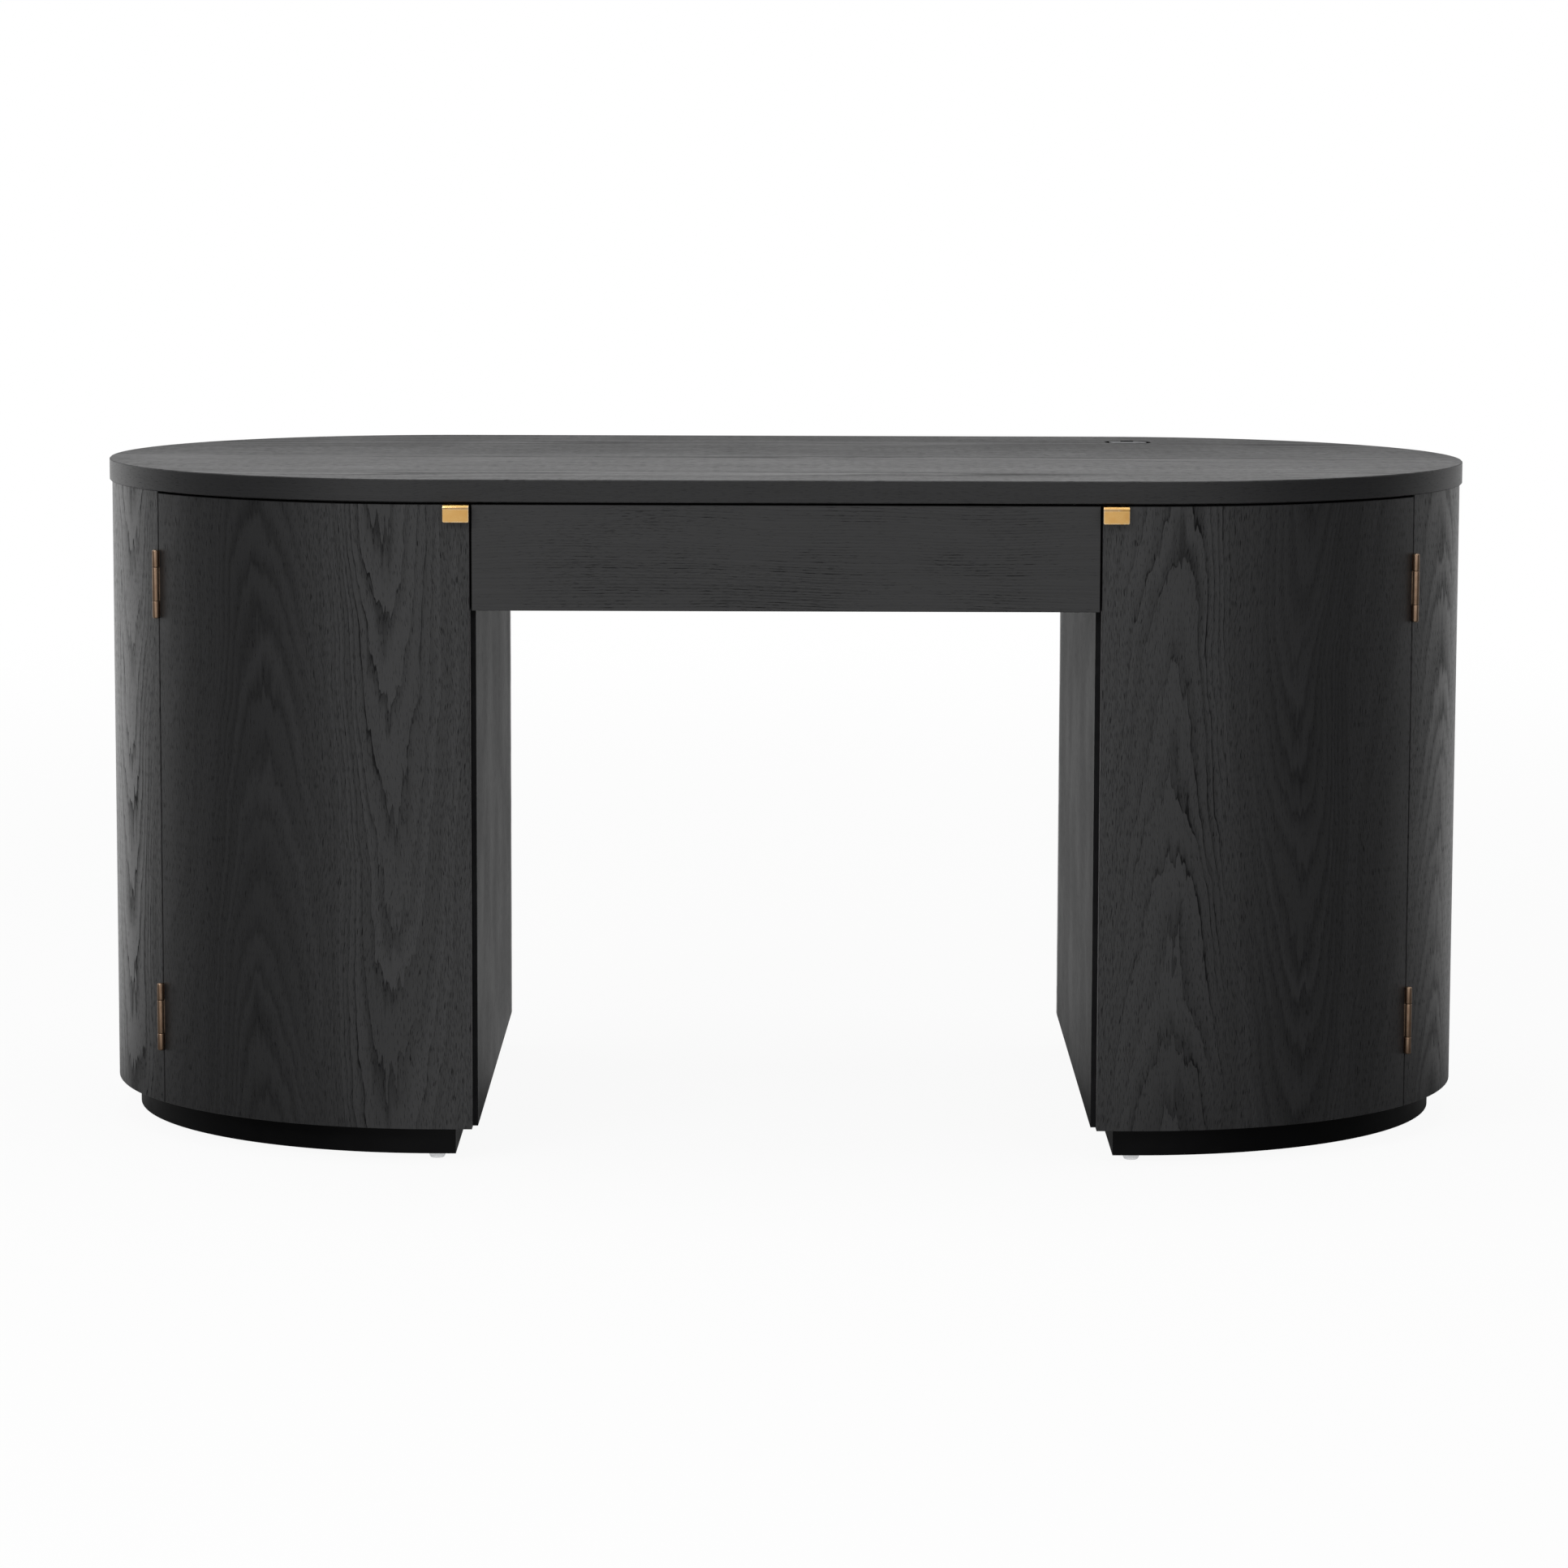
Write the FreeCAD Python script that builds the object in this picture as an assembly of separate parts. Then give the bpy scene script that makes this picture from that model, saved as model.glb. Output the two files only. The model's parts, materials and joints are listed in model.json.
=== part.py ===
import FreeCAD, Part

# Oval executive desk: two half-round cabinets with curved doors, a drawer between them and an oval top.
# Millimetres. X runs along the desk, the user's side with the doors and the drawer faces -Y, and Z is up.
# The origin is on the floor under the middle of the top. Cabinet pieces are modelled on the +X side and
# mirrored for the other.

import math
import os

from FreeCAD import Placement, Rotation, Vector

# The whole desk
desk_width = 1570.0
desk_depth = 790.0
desk_height = 762.0

# Straight part of each cabinet, from its knee side to where its round end starts
cabinet_straight = 49.0

# Top
top_thickness = 25.0
top_overhang = 3.0
top_edge_chamfer = 1.0

# Cabinet boards
cabinet_base_height = 40.0
side_thickness = 20.0
shell_thickness = 20.0
panel_thickness = 18.0
arris = 0.6

# Doors
door_thickness = 20.0
door_top_gap = 2.5
door_back_gap = 3.0
door_side_reveal = 5.5
seam_angle = 36.4
seam_gap = 2.0

# Door hinges
hinge_length = 76.0
hinge_from_top = 105.0
hinge_from_bottom = 99.0
leaf_thickness = 1.5
leaf_backset = 5.0
barrel_radius = 3.75
barrel_clearance = 0.1
pin_radius = 2.0
pin_clearance = 0.05
pin_head_radius = 3.1
pin_head_thickness = 0.8
knuckle_gap = 0.4
middle_knuckle_share = 0.5
leaf_screw_shares = (-0.36, 0.0, 0.36)
mortise_clearance = 0.2

# Door pulls
pull_width = 29.0
pull_height = 19.0
pull_reach = 13.0
pull_plate = 2.0
pull_leg_backset = 6.0
pull_bend_radius = 3.0
pull_corner_radius = 1.5
pull_groove_drop = 3.2
pull_groove_width = 0.8
pull_groove_depth = 0.5
pull_screw_spacing = 15.0

# Magnetic catches
catch_length = 26.0
catch_depth = 16.0
catch_height = 13.0
catch_from_side = 2.0
catch_gap = 0.3
pole_thickness = 1.2
pole_spacing = 7.0
pole_proud = 0.5
strike_length = 24.0
strike_height = 14.0
strike_thickness = 1.2

# Shelves
shelf_height = 372.0
shelf_side_clearance = 1.5
shelf_setback = 12.0
shelf_pin_radius = 2.5
shelf_pin_inset = 9.0
shelf_pin_proud = 8.0
shelf_pin_collar_radius = 3.5
shelf_pin_collar = 1.0
shelf_pin_clearance = 0.1
shelf_hole_spacing = 32.0
shelf_hole_rows = 5
shelf_hole_bottom = 2.0
side_pin_shares = (-0.61, 0.61)
shell_pin_angles = (-12.0, 52.0)

# Plinths and glides
plinth_setback = 25.0
plinth_thickness = 18.0
glide_height = 8.0
glide_radius = 10.0
glide_round = 2.4
glide_inset = 22.0
glide_stem_radius = 3.0
glide_stem_length = 16.0
glide_clearance = 0.1
glide_end_angle = 18.0
glide_block_width = 56.0

# Drawer front and box
drawer_front_height = 116.5
drawer_gap = 2.0
box_lift = 14.0
box_top_room = 18.5
box_depth = 450.0
box_side_thickness = 12.0
box_bottom_thickness = 6.0
box_bottom_lift = 8.0
groove_depth = 5.0
groove_clearance = 0.2
front_screw_shares = (-0.66, 0.66)
front_screw_edge = 22.0

# Drawer slides
slide_length = 450.0
slide_height = 45.0
slide_width = 12.7
slide_lift = 14.0
slide_steel = 1.2
slide_web_gap = 0.6
slide_tip_gap = 0.3
slide_ball_gap = 2.2
slide_front_setback = 3.0
slide_screw_shares = (0.08, 0.5, 0.92)

# Rear apron between the cabinets
apron_height = 116.5
apron_thickness = 20.0
dowel_radius = 4.0
dowel_length = 30.0
dowel_edge = 24.0
dowel_clearance = 0.1

# Cable grommet and the port behind it
grommet_from_knee = 75.0
grommet_from_back = 109.0
grommet_flange_radius = 28.0
grommet_flange_thickness = 1.6
grommet_hole_radius = 25.0
grommet_wall = 1.8
grommet_length = 23.0
grommet_ledge = 1.6
grommet_ledge_thickness = 1.6
grommet_clearance = 0.15
cap_thickness = 3.0
cap_clearance = 0.3
cap_skirt_wall = 1.6
cap_skirt_length = 7.0
cap_slot_width = 16.0
cap_slot_depth = 13.0
cap_rim_chamfer = 0.5
cable_port_radius = 30.0
cable_port_height = 120.0

# Screws
screw_radius = 1.6
screw_head_radius = 3.4
screw_head_height = 1.4
screw_clearance = 0.1
leaf_screw_length = 15.0
slide_screw_length = 14.0
box_screw_length = 9.0
pull_screw_length = 16.0
front_screw_length = 24.0
top_screw_length = 32.0
top_screw_edge = 45.0
top_screw_depth_shares = (-0.6, 0.6)
top_screw_end_angle = 25.0

# Cuts run past the faces they go through by this much, and points this near to each other are one
overrun = 1.0
touch = 0.01

# Worked-out sizes
end_centre = desk_width / 2 - desk_depth / 2
knee_half = end_centre - cabinet_straight
end_radius = desk_depth / 2 - top_overhang
top_underside = desk_height - top_thickness
door_top = top_underside - door_top_gap
door_inner_edge = knee_half + door_side_reveal
door_front_inset = door_thickness + door_back_gap
side_inner_face = knee_half + side_thickness
barrel_centre = end_radius + barrel_radius + barrel_clearance
upper_hinge = top_underside - hinge_from_top
lower_hinge = cabinet_base_height + hinge_from_bottom
leaf_depth = door_thickness - leaf_backset
pull_leg = door_thickness - pull_leg_backset
catch_proud = door_back_gap - strike_thickness - catch_gap - pole_proud
slide_face = knee_half - slide_width
slide_middle_depth = slide_width - 2 * slide_steel - slide_web_gap - slide_tip_gap
drawer_bottom_edge = door_top - drawer_front_height
box_bottom = drawer_bottom_edge + box_lift
box_height = drawer_front_height - box_lift - box_top_room
box_half = slide_face - box_side_thickness
grommet_x = knee_half + grommet_from_knee
grommet_y = desk_depth / 2 - grommet_from_back
reach = desk_width + desk_depth


def box(x0, x1, y0, y1, z0, z1):
    """Box between two corners."""
    return Part.makeBox(x1 - x0, y1 - y0, z1 - z0, Vector(x0, y0, z0))


def rod(radius, start, end):
    """Round rod between two points."""
    along = end - start
    return Part.makeCylinder(radius, along.Length, start, along)


def oval(inset, low, high):
    """Solid of the cabinets' oval outline, drawn in by inset, between two heights."""
    radius = end_radius - inset
    left = Vector(-end_centre, 0, low)
    right = Vector(end_centre, 0, low)
    across = Vector(0, radius, 0)
    outward = Vector(radius, 0, 0)
    edges = [
        Part.LineSegment(left - across, right - across).toShape(),
        Part.Arc(right - across, right + outward, right + across).toShape(),
        Part.LineSegment(right + across, left + across).toShape(),
        Part.Arc(left + across, left - outward, left - across).toShape(),
    ]
    return Part.Face(Part.Wire(edges)).extrude(Vector(0, 0, high - low))


def band(outer_inset, inner_inset, low, high):
    """Wall that follows the outline between two insets."""
    return oval(outer_inset, low, high).cut(oval(inner_inset, low - overrun, high + overrun))


def right_of(x, low, high):
    """Everything beyond x on the +X side."""
    return box(x, reach, -reach, reach, low, high)


def at_seam(shape):
    """Moves a shape from the seam's own frame: x outwards from the end's centre, the door side at -y."""
    turned = shape.copy()
    seam = Placement(Vector(end_centre, 0, 0), Rotation(Vector(0, 0, 1), -seam_angle))
    turned.Placement = seam.multiply(turned.Placement)
    return turned


def door_side(offset, low, high):
    """Everything on the door's side of the seam, up to offset past its middle towards the shell."""
    return at_seam(box(0, reach, -reach, offset, low, high))


def outline_y(x, inset):
    """Depth of the front outline at x, drawn in by inset."""
    past = max(x - end_centre, 0)
    return -math.sqrt((end_radius - inset) ** 2 - past ** 2)


def outline_angle(x):
    """Turn of the front outline at x, in degrees, as seen from above."""
    past = max(x - end_centre, 0)
    return math.degrees(math.asin(past / end_radius))


def on_front(shape, x, inset):
    """Moves a shape from a frame on the front outline: origin at x on the inset line, -y outwards."""
    turned = shape.copy()
    spot = Placement(Vector(x, outline_y(x, inset), 0), Rotation(Vector(0, 0, 1), outline_angle(x)))
    turned.Placement = spot.multiply(turned.Placement)
    return turned


def edges_at(shape, y, z):
    """Edges along X that lie at y and z."""
    return [
        edge for edge in shape.Edges
        if edge.BoundBox.XLength > touch
        and abs(edge.CenterOfMass.y - y) < touch and abs(edge.CenterOfMass.z - z) < touch
    ]


def eased(shape):
    """Shape with the sharp edges of its outer face broken; where flat and round flow together stays."""
    sharp = []
    for edge in shape.Edges:
        middle = edge.valueAt((edge.FirstParameter + edge.LastParameter) / 2)
        past = max(abs(middle.x) - end_centre, 0)
        outer = abs(math.hypot(past, middle.y) - end_radius) < touch
        if outer and abs(abs(middle.x) - end_centre) > touch:
            sharp.append(edge)
    return shape.makeChamfer(arris, sharp)


def screw(spot, direction, length, grow=0):
    """Countersunk screw whose head lies flush at spot; grow makes the hole for it."""
    way = Vector(direction)
    way.normalize()
    head = Part.makeCone(
        screw_head_radius + grow, screw_radius + grow, screw_head_height, spot, way
    )
    shank = rod(screw_radius + grow, spot, spot + way * (length + grow))
    return head.fuse(shank).removeSplitter()


def screw_hole(spot, direction, length):
    """Hole for a screw, open past the head."""
    way = Vector(direction)
    way.normalize()
    mouth = rod(screw_head_radius + screw_clearance, spot - way * overrun, spot)
    return mouth.fuse(screw(spot, direction, length, screw_clearance))


def drilled(shape, spots):
    """Shape with a hole for every screw in spots, each a place, a direction and a length."""
    for spot, direction, length in spots:
        shape = shape.cut(screw_hole(spot, direction, length))
    return shape


def screws(spots):
    """One screw for every place, direction and length in spots."""
    return [screw(spot, direction, length) for spot, direction, length in spots]


def inside(low, high, wall_clearance=0, front_setback=0, side_clearance=0):
    """Room of the right cabinet between its side panel, its shell and the back of its door."""
    room = oval(shell_thickness + wall_clearance, low, high)
    front = band(-overrun, door_front_inset + front_setback, low - overrun, high + overrun)
    front = front.common(door_side(seam_gap / 2, low - overrun, high + overrun))
    room = room.cut(front)
    return room.common(right_of(side_inner_face + side_clearance, low - overrun, high + overrun))


# Hinges

def hinge_heights():
    """Middle height of each hinge of a door."""
    return (upper_hinge, lower_hinge)


def leaf_screw_spots(side):
    """Screws of the leaves on the shell (side 1) or on the door (side -1), in the desk's frame."""
    middle_of_leaf = end_radius - leaf_depth / 2
    face = side * seam_gap / 2
    seam = Placement(Vector(end_centre, 0, 0), Rotation(Vector(0, 0, 1), -seam_angle))
    way = seam.Rotation.multVec(Vector(0, side, 0))
    spots = []
    for height in hinge_heights():
        for share in leaf_screw_shares:
            spot = seam.multVec(Vector(middle_of_leaf, face, height + share * hinge_length))
            spots.append((spot, way, leaf_screw_length))
    return spots


def knuckle_ranges(height):
    """Lowest and highest point of the bottom, middle and top knuckle of a hinge."""
    half = hinge_length / 2
    split = hinge_length * middle_knuckle_share / 2
    gap = knuckle_gap / 2
    return (
        (height - half, height - split - gap),
        (height - split + gap, height + split - gap),
        (height + split + gap, height + half),
    )


def hinge_leaf(side, height):
    """Leaf let into the shell's edge (side 1) or the door's edge (side -1), with its knuckles."""
    bottom, middle, top = knuckle_ranges(height)
    own = (bottom, top) if side > 0 else (middle,)
    faces = sorted((side * seam_gap / 2, side * (seam_gap / 2 + leaf_thickness)))
    plate = box(
        end_radius - leaf_depth, end_radius, *faces, height - hinge_length / 2, height + hinge_length / 2
    )
    axis = Vector(barrel_centre, 0, 0)
    for low, high in own:
        plate = plate.fuse(box(end_radius - leaf_thickness, barrel_centre, *faces, low, high))
        plate = plate.fuse(rod(barrel_radius, axis + Vector(0, 0, low), axis + Vector(0, 0, high)))
    bore_low = axis + Vector(0, 0, height - hinge_length)
    bore_high = axis + Vector(0, 0, height + hinge_length)
    plate = plate.cut(rod(pin_radius + pin_clearance, bore_low, bore_high))
    return drilled(at_seam(plate).removeSplitter(), leaf_screw_spots(side))


def hinge_pin(height):
    """Hinge pin with a flat head at each end of the barrel."""
    low = Vector(barrel_centre, 0, height - hinge_length / 2)
    high = Vector(barrel_centre, 0, height + hinge_length / 2)
    head = Vector(0, 0, pin_head_thickness)
    pin = rod(pin_radius, low, high)
    pin = pin.fuse(rod(pin_head_radius, low - head, low)).fuse(rod(pin_head_radius, high, high + head))
    return at_seam(pin.removeSplitter())


def hinge_mortises(side):
    """Pockets for the leaves in the shell's edge (side 1) or the door's edge (side -1)."""
    faces = sorted((0, side * (seam_gap / 2 + leaf_thickness)))
    half = hinge_length / 2 + mortise_clearance
    inner = end_radius - leaf_depth - mortise_clearance
    pockets = [
        box(inner, end_radius + overrun, *faces, height - half, height + half)
        for height in hinge_heights()
    ]
    return at_seam(Part.makeCompound(pockets))


# Doors

def pull_middle():
    """Place along X of the middle of the pull, whose end lines up with the door's free edge."""
    return door_inner_edge + pull_width / 2


def pull_screw_spots():
    """Screws of the pull, down into the top edge of the door."""
    depth = outline_y(pull_middle(), pull_leg / 2)
    return [
        (
            Vector(pull_middle() + share * pull_screw_spacing / 2, depth, door_top),
            Vector(0, 0, -1), pull_screw_length
        )
        for share in (-1, 1)
    ]


def door_pull():
    """Tab pull: a leg on the door's top edge, a rounded bend and a lip that hangs in front of the door."""
    half = pull_width / 2
    low = door_top - pull_height
    leg = box(-half, half, -pull_reach, pull_leg, door_top - pull_plate, door_top)
    lip = box(-half, half, -pull_reach, -pull_reach + pull_plate, low, door_top)
    body = leg.fuse(lip).removeSplitter()
    body = body.makeFillet(pull_bend_radius, edges_at(body, -pull_reach, door_top))
    inner_bend = edges_at(body, -pull_reach + pull_plate, door_top - pull_plate)
    body = body.makeFillet(pull_bend_radius - pull_plate, inner_bend)
    corners = [
        edge for edge in body.Edges
        if edge.BoundBox.ZMax < low + pull_plate and edge.BoundBox.XLength < pull_plate
        and edge.BoundBox.YLength > pull_plate / 2
    ]
    body = body.makeFillet(pull_corner_radius, corners)
    groove_top = door_top - pull_groove_drop
    groove = box(
        -half - overrun, half + overrun, -pull_reach - overrun, -pull_reach + pull_groove_depth,
        groove_top - pull_groove_width, groove_top
    )
    pull = on_front(body.cut(groove), pull_middle(), 0)
    return drilled(pull, pull_screw_spots())


def door_strike():
    """Steel plate on the back of the door that meets the catch."""
    half = strike_length / 2
    middle = top_underside - panel_thickness - catch_height / 2
    plate = box(-half, half, 0, strike_thickness, middle - strike_height / 2, middle + strike_height / 2)
    return on_front(plate, catch_middle(), door_thickness)


def door():
    """Bent door from the seam to just short of the cabinet's knee side."""
    low, high = cabinet_base_height, door_top
    panel = band(0, door_thickness, low, high)
    panel = panel.common(door_side(-seam_gap / 2, low - overrun, high + overrun))
    panel = eased(panel.common(right_of(door_inner_edge, low - overrun, high + overrun)))
    half = pull_width / 2
    rebate = box(
        -half - overrun, half + mortise_clearance, -pull_reach, pull_leg + mortise_clearance,
        door_top - pull_plate, door_top + overrun
    )
    panel = panel.cut(on_front(rebate, pull_middle(), 0))
    panel = panel.cut(hinge_mortises(-1)).cut(door_strike())
    return drilled(panel, leaf_screw_spots(-1) + pull_screw_spots())


# Cabinet

def catch_middle():
    """Place along X of the catch and its strike."""
    return side_inner_face + catch_from_side + catch_length / 2


def magnetic_catch():
    """Catch housing under the top panel with its two pole plates."""
    half = catch_length / 2
    top = top_underside - panel_thickness
    front = door_front_inset - catch_proud
    housing = box(-half, half, 0, catch_depth, top - catch_height, top)
    plates = []
    for share in (-1, 1):
        middle = top - catch_height / 2 + share * pole_spacing / 2
        plate = box(
            -half + pole_thickness, half - pole_thickness, -pole_proud, catch_depth / 2,
            middle - pole_thickness / 2, middle + pole_thickness / 2
        )
        housing = housing.cut(plate)
        plates.append(on_front(plate, catch_middle(), front))
    return [on_front(housing, catch_middle(), front)] + plates


def shell():
    """Bent wall from the hinge seam round the end to the back of the knee side."""
    low, high = cabinet_base_height, top_underside
    wall = band(0, shell_thickness, low, high)
    wall = wall.common(right_of(knee_half, low - overrun, high + overrun))
    wall = eased(wall.cut(door_side(seam_gap / 2, low - overrun, high + overrun)))
    wall = wall.cut(hinge_mortises(1))
    wall = wall.cut(pin_row_holes(shell_pin_lines()))
    wall = wall.cut(dowel_holes())
    return drilled(wall, leaf_screw_spots(1))


def with_cable_port(wall):
    """Wall with the round port at the back for cables that come down through the grommet."""
    start = Vector(grommet_x, 0, cable_port_height)
    return wall.cut(rod(cable_port_radius, start, start + Vector(0, reach, 0)))


def shell_pin_lines():
    """Inner end and outward direction of each row of pin holes in the shell."""
    lines = []
    for angle in shell_pin_angles:
        way = Vector(math.cos(math.radians(angle)), math.sin(math.radians(angle)), 0)
        lines.append((Vector(end_centre, 0, 0) + way * (end_radius - shell_thickness), way))
    return lines


def side_pin_lines():
    """Inner end and outward direction of each row of pin holes in the side panel."""
    return [
        (Vector(side_inner_face, share * end_radius, 0), Vector(-1, 0, 0)) for share in side_pin_shares
    ]


def pin_row_holes(lines):
    """Rows of holes that let the shelf sit at other heights."""
    holes = []
    middle = shelf_height - shelf_pin_radius
    for start, way in lines:
        for row in range(shelf_hole_rows):
            lift = (row - (shelf_hole_rows - 1) / 2) * shelf_hole_spacing
            mouth = start + Vector(0, 0, middle + lift)
            bottom = mouth + way * (shelf_pin_inset + shelf_hole_bottom)
            holes.append(rod(shelf_pin_radius + shelf_pin_clearance, mouth - way * overrun, bottom))
    return Part.makeCompound(holes)


def shelf_pins():
    """Four pins that carry the shelf, two in the side panel and two in the shell."""
    pins = []
    for start, way in side_pin_lines() + shell_pin_lines():
        mouth = start + Vector(0, 0, shelf_height - shelf_pin_radius)
        pin = rod(shelf_pin_radius, mouth - way * shelf_pin_proud, mouth + way * shelf_pin_inset)
        seat = mouth - way * shelf_pin_clearance
        collar = rod(shelf_pin_collar_radius, seat - way * shelf_pin_collar, seat)
        pins.append(pin.fuse(collar).removeSplitter())
    return pins


def side_panel():
    """Flat wall on the knee side."""
    low, high = cabinet_base_height, top_underside
    wall = oval(shell_thickness, low, high)
    front = band(-overrun, door_front_inset, low - overrun, high + overrun)
    wall = wall.cut(front.common(door_side(seam_gap / 2, low - overrun, high + overrun)))
    wall = wall.common(box(knee_half, side_inner_face, -reach, reach, low, high))
    wall = wall.cut(pin_row_holes(side_pin_lines()))
    return drilled(wall, slide_screw_spots())


def base_panel():
    """Floor of the cabinet."""
    return inside(cabinet_base_height, cabinet_base_height + panel_thickness)


def top_screw_spots():
    """Screws up through the top panel into the top: two along the side panel and two near the end."""
    low = top_underside - panel_thickness
    radius = end_radius - door_front_inset - top_screw_edge
    spots = [
        (Vector(side_inner_face + top_screw_edge, share * radius, low), Vector(0, 0, 1), top_screw_length)
        for share in top_screw_depth_shares
    ]
    for share in (-1, 1):
        turn = math.radians(share * top_screw_end_angle)
        spot = Vector(end_centre + radius * math.cos(turn), radius * math.sin(turn), low)
        spots.append((spot, Vector(0, 0, 1), top_screw_length))
    return spots


def top_panel():
    """Panel under the top that closes the cabinet and carries the top."""
    return drilled(inside(top_underside - panel_thickness, top_underside), top_screw_spots())


def with_grommet_hole(panel):
    """Panel with a cable hole in line with the grommet."""
    return panel.cut(grommet_rod(cable_port_radius, 0, desk_height))


def shelf():
    """Shelf that rests on the four pins."""
    return inside(
        shelf_height, shelf_height + panel_thickness,
        shelf_side_clearance, shelf_setback, shelf_side_clearance
    )


# Plinth and glides

def plinth_curve():
    """Bent plinth rail, set back under the door and the shell."""
    low, high = glide_height, cabinet_base_height
    rail = band(plinth_setback, plinth_setback + plinth_thickness, low, high)
    return rail.common(right_of(knee_half + plinth_setback, low - overrun, high + overrun))


def plinth_board():
    """Straight plinth board on the knee side, between the ends of the bent rail."""
    low, high = glide_height, cabinet_base_height
    x = knee_half + plinth_setback
    board = oval(plinth_setback + plinth_thickness, low, high)
    return board.common(box(x, x + plinth_thickness, -reach, reach, low, high))


def glide_places():
    """Middle of each glide of the right cabinet, on the floor."""
    radius = end_radius - plinth_setback - glide_inset
    inner = knee_half + plinth_setback + glide_inset
    turn = math.radians(glide_end_angle)
    inner_depth = -outline_y(inner, plinth_setback + glide_inset)
    end_x = end_centre + radius * math.cos(turn)
    end_y = radius * math.sin(turn)
    return [
        Vector(inner, -inner_depth, 0),
        Vector(inner, inner_depth, 0),
        Vector(end_x, -end_y, 0),
        Vector(end_x, end_y, 0),
    ]


def glide_stem_hole(place):
    """Hole in a glide block for the glide's stem."""
    low = place + Vector(0, 0, glide_height - overrun)
    high = place + Vector(0, 0, glide_height + glide_stem_length + glide_clearance)
    return rod(glide_stem_radius + glide_clearance, low, high)


def glide_blocks():
    """Blocks inside the plinth that the glides are driven into."""
    half = glide_block_width / 2
    room = oval(plinth_setback + plinth_thickness, glide_height, cabinet_base_height)
    room = room.common(
        right_of(knee_half + plinth_setback + plinth_thickness, glide_height, cabinet_base_height)
    )
    blocks = []
    for place in glide_places():
        block = box(
            place.x - half, place.x + half, place.y - half, place.y + half,
            glide_height, cabinet_base_height
        )
        blocks.append(block.common(room).cut(glide_stem_hole(place)))
    return blocks


def glides():
    """Round nylon glides with a stem driven into each block."""
    pieces = []
    for place in glide_places():
        foot = Part.makeCylinder(glide_radius, glide_height, place)
        rim = [edge for edge in foot.Edges if edge.BoundBox.ZMax < glide_clearance]
        foot = foot.makeFillet(glide_round, rim)
        stem = Part.makeCylinder(glide_stem_radius, glide_stem_length, place + Vector(0, 0, glide_height))
        pieces.append(foot.fuse(stem).removeSplitter())
    return pieces


# Top

def grommet_rod(radius, low, high):
    """Upright rod on the grommet's axis."""
    return rod(radius, Vector(grommet_x, grommet_y, low), Vector(grommet_x, grommet_y, high))


def desktop():
    """Oval top with chamfered edges, the stepped grommet hole and holes for its screws."""
    slab = oval(-top_overhang, top_underside, desk_height)
    rims = [edge for edge in slab.Edges if edge.BoundBox.ZLength < top_edge_chamfer]
    slab = slab.makeChamfer(top_edge_chamfer, rims)
    slab = slab.cut(grommet_rod(grommet_hole_radius, top_underside - overrun, desk_height + overrun))
    step = grommet_rod(
        grommet_flange_radius + grommet_clearance, desk_height - grommet_flange_thickness,
        desk_height + overrun
    )
    slab = slab.cut(step)
    slab = drilled(slab, top_screw_spots())
    return drilled(slab, mirrored_spots(top_screw_spots()))


def grommet_sleeve():
    """Sleeve with a flush flange and a ledge inside that carries the cap."""
    low = desk_height - grommet_length
    outer = grommet_hole_radius - grommet_clearance
    sleeve = grommet_rod(outer, low, desk_height)
    sleeve = sleeve.fuse(
        grommet_rod(grommet_flange_radius, desk_height - grommet_flange_thickness, desk_height)
    ).removeSplitter()
    ledge_top = desk_height - cap_thickness
    sleeve = sleeve.cut(grommet_rod(outer - grommet_wall, ledge_top, desk_height + overrun))
    sleeve = sleeve.cut(
        grommet_rod(outer - grommet_wall, low - overrun, ledge_top - grommet_ledge_thickness)
    )
    return sleeve.cut(grommet_rod(outer - grommet_wall - grommet_ledge, low - overrun, desk_height))


def grommet_cap():
    """Round cap that turns on the ledge, with a slot at its rim for cables."""
    outer = grommet_hole_radius - grommet_clearance - grommet_wall - cap_clearance
    skirt = outer - grommet_ledge
    disc = grommet_rod(outer, desk_height - cap_thickness, desk_height)
    top_rim = [edge for edge in disc.Edges if edge.BoundBox.ZMin > desk_height - cap_rim_chamfer]
    disc = disc.makeChamfer(cap_rim_chamfer, top_rim)
    skirt_low = desk_height - cap_thickness - cap_skirt_length
    wall = grommet_rod(skirt, skirt_low, desk_height - cap_thickness)
    wall = wall.cut(grommet_rod(skirt - cap_skirt_wall, skirt_low - overrun, desk_height))
    cap = disc.fuse(wall).removeSplitter()
    half = cap_slot_width / 2
    slot = box(
        grommet_x - half, grommet_x + half, grommet_y + outer - cap_slot_depth, reach,
        skirt_low - overrun, desk_height + overrun
    )
    return cap.cut(slot)


def rear_apron():
    """Board between the cabinets at the back, under the top."""
    low = top_underside - apron_height
    board = band(0, apron_thickness, low, top_underside)
    board = board.common(box(-knee_half, knee_half, 0, reach, low, top_underside))
    return board.cut(dowel_holes()).cut(mirrored(dowel_holes()))


def dowel_lines():
    """Ends of the dowels between the apron and the right cabinet's shell."""
    lines = []
    depth = -outline_y(knee_half, apron_thickness / 2)
    for height in (top_underside - dowel_edge, top_underside - apron_height + dowel_edge):
        start = Vector(knee_half - dowel_length / 2, depth, height)
        lines.append((start, start + Vector(dowel_length, 0, 0)))
    return lines


def dowel_holes():
    """Holes for the apron's dowels on the right."""
    room = Vector(dowel_clearance, 0, 0)
    holes = [rod(dowel_radius + dowel_clearance, a - room, b + room) for a, b in dowel_lines()]
    return Part.makeCompound(holes)


def apron_dowels():
    """Wooden dowels that join the apron to both cabinets."""
    right = [rod(dowel_radius, start, end) for start, end in dowel_lines()]
    return right + [mirrored(dowel) for dowel in right]


# Drawer

def drawer_back_plane():
    """Depth of the back of the drawer front."""
    return -(end_radius - door_thickness)


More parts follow.
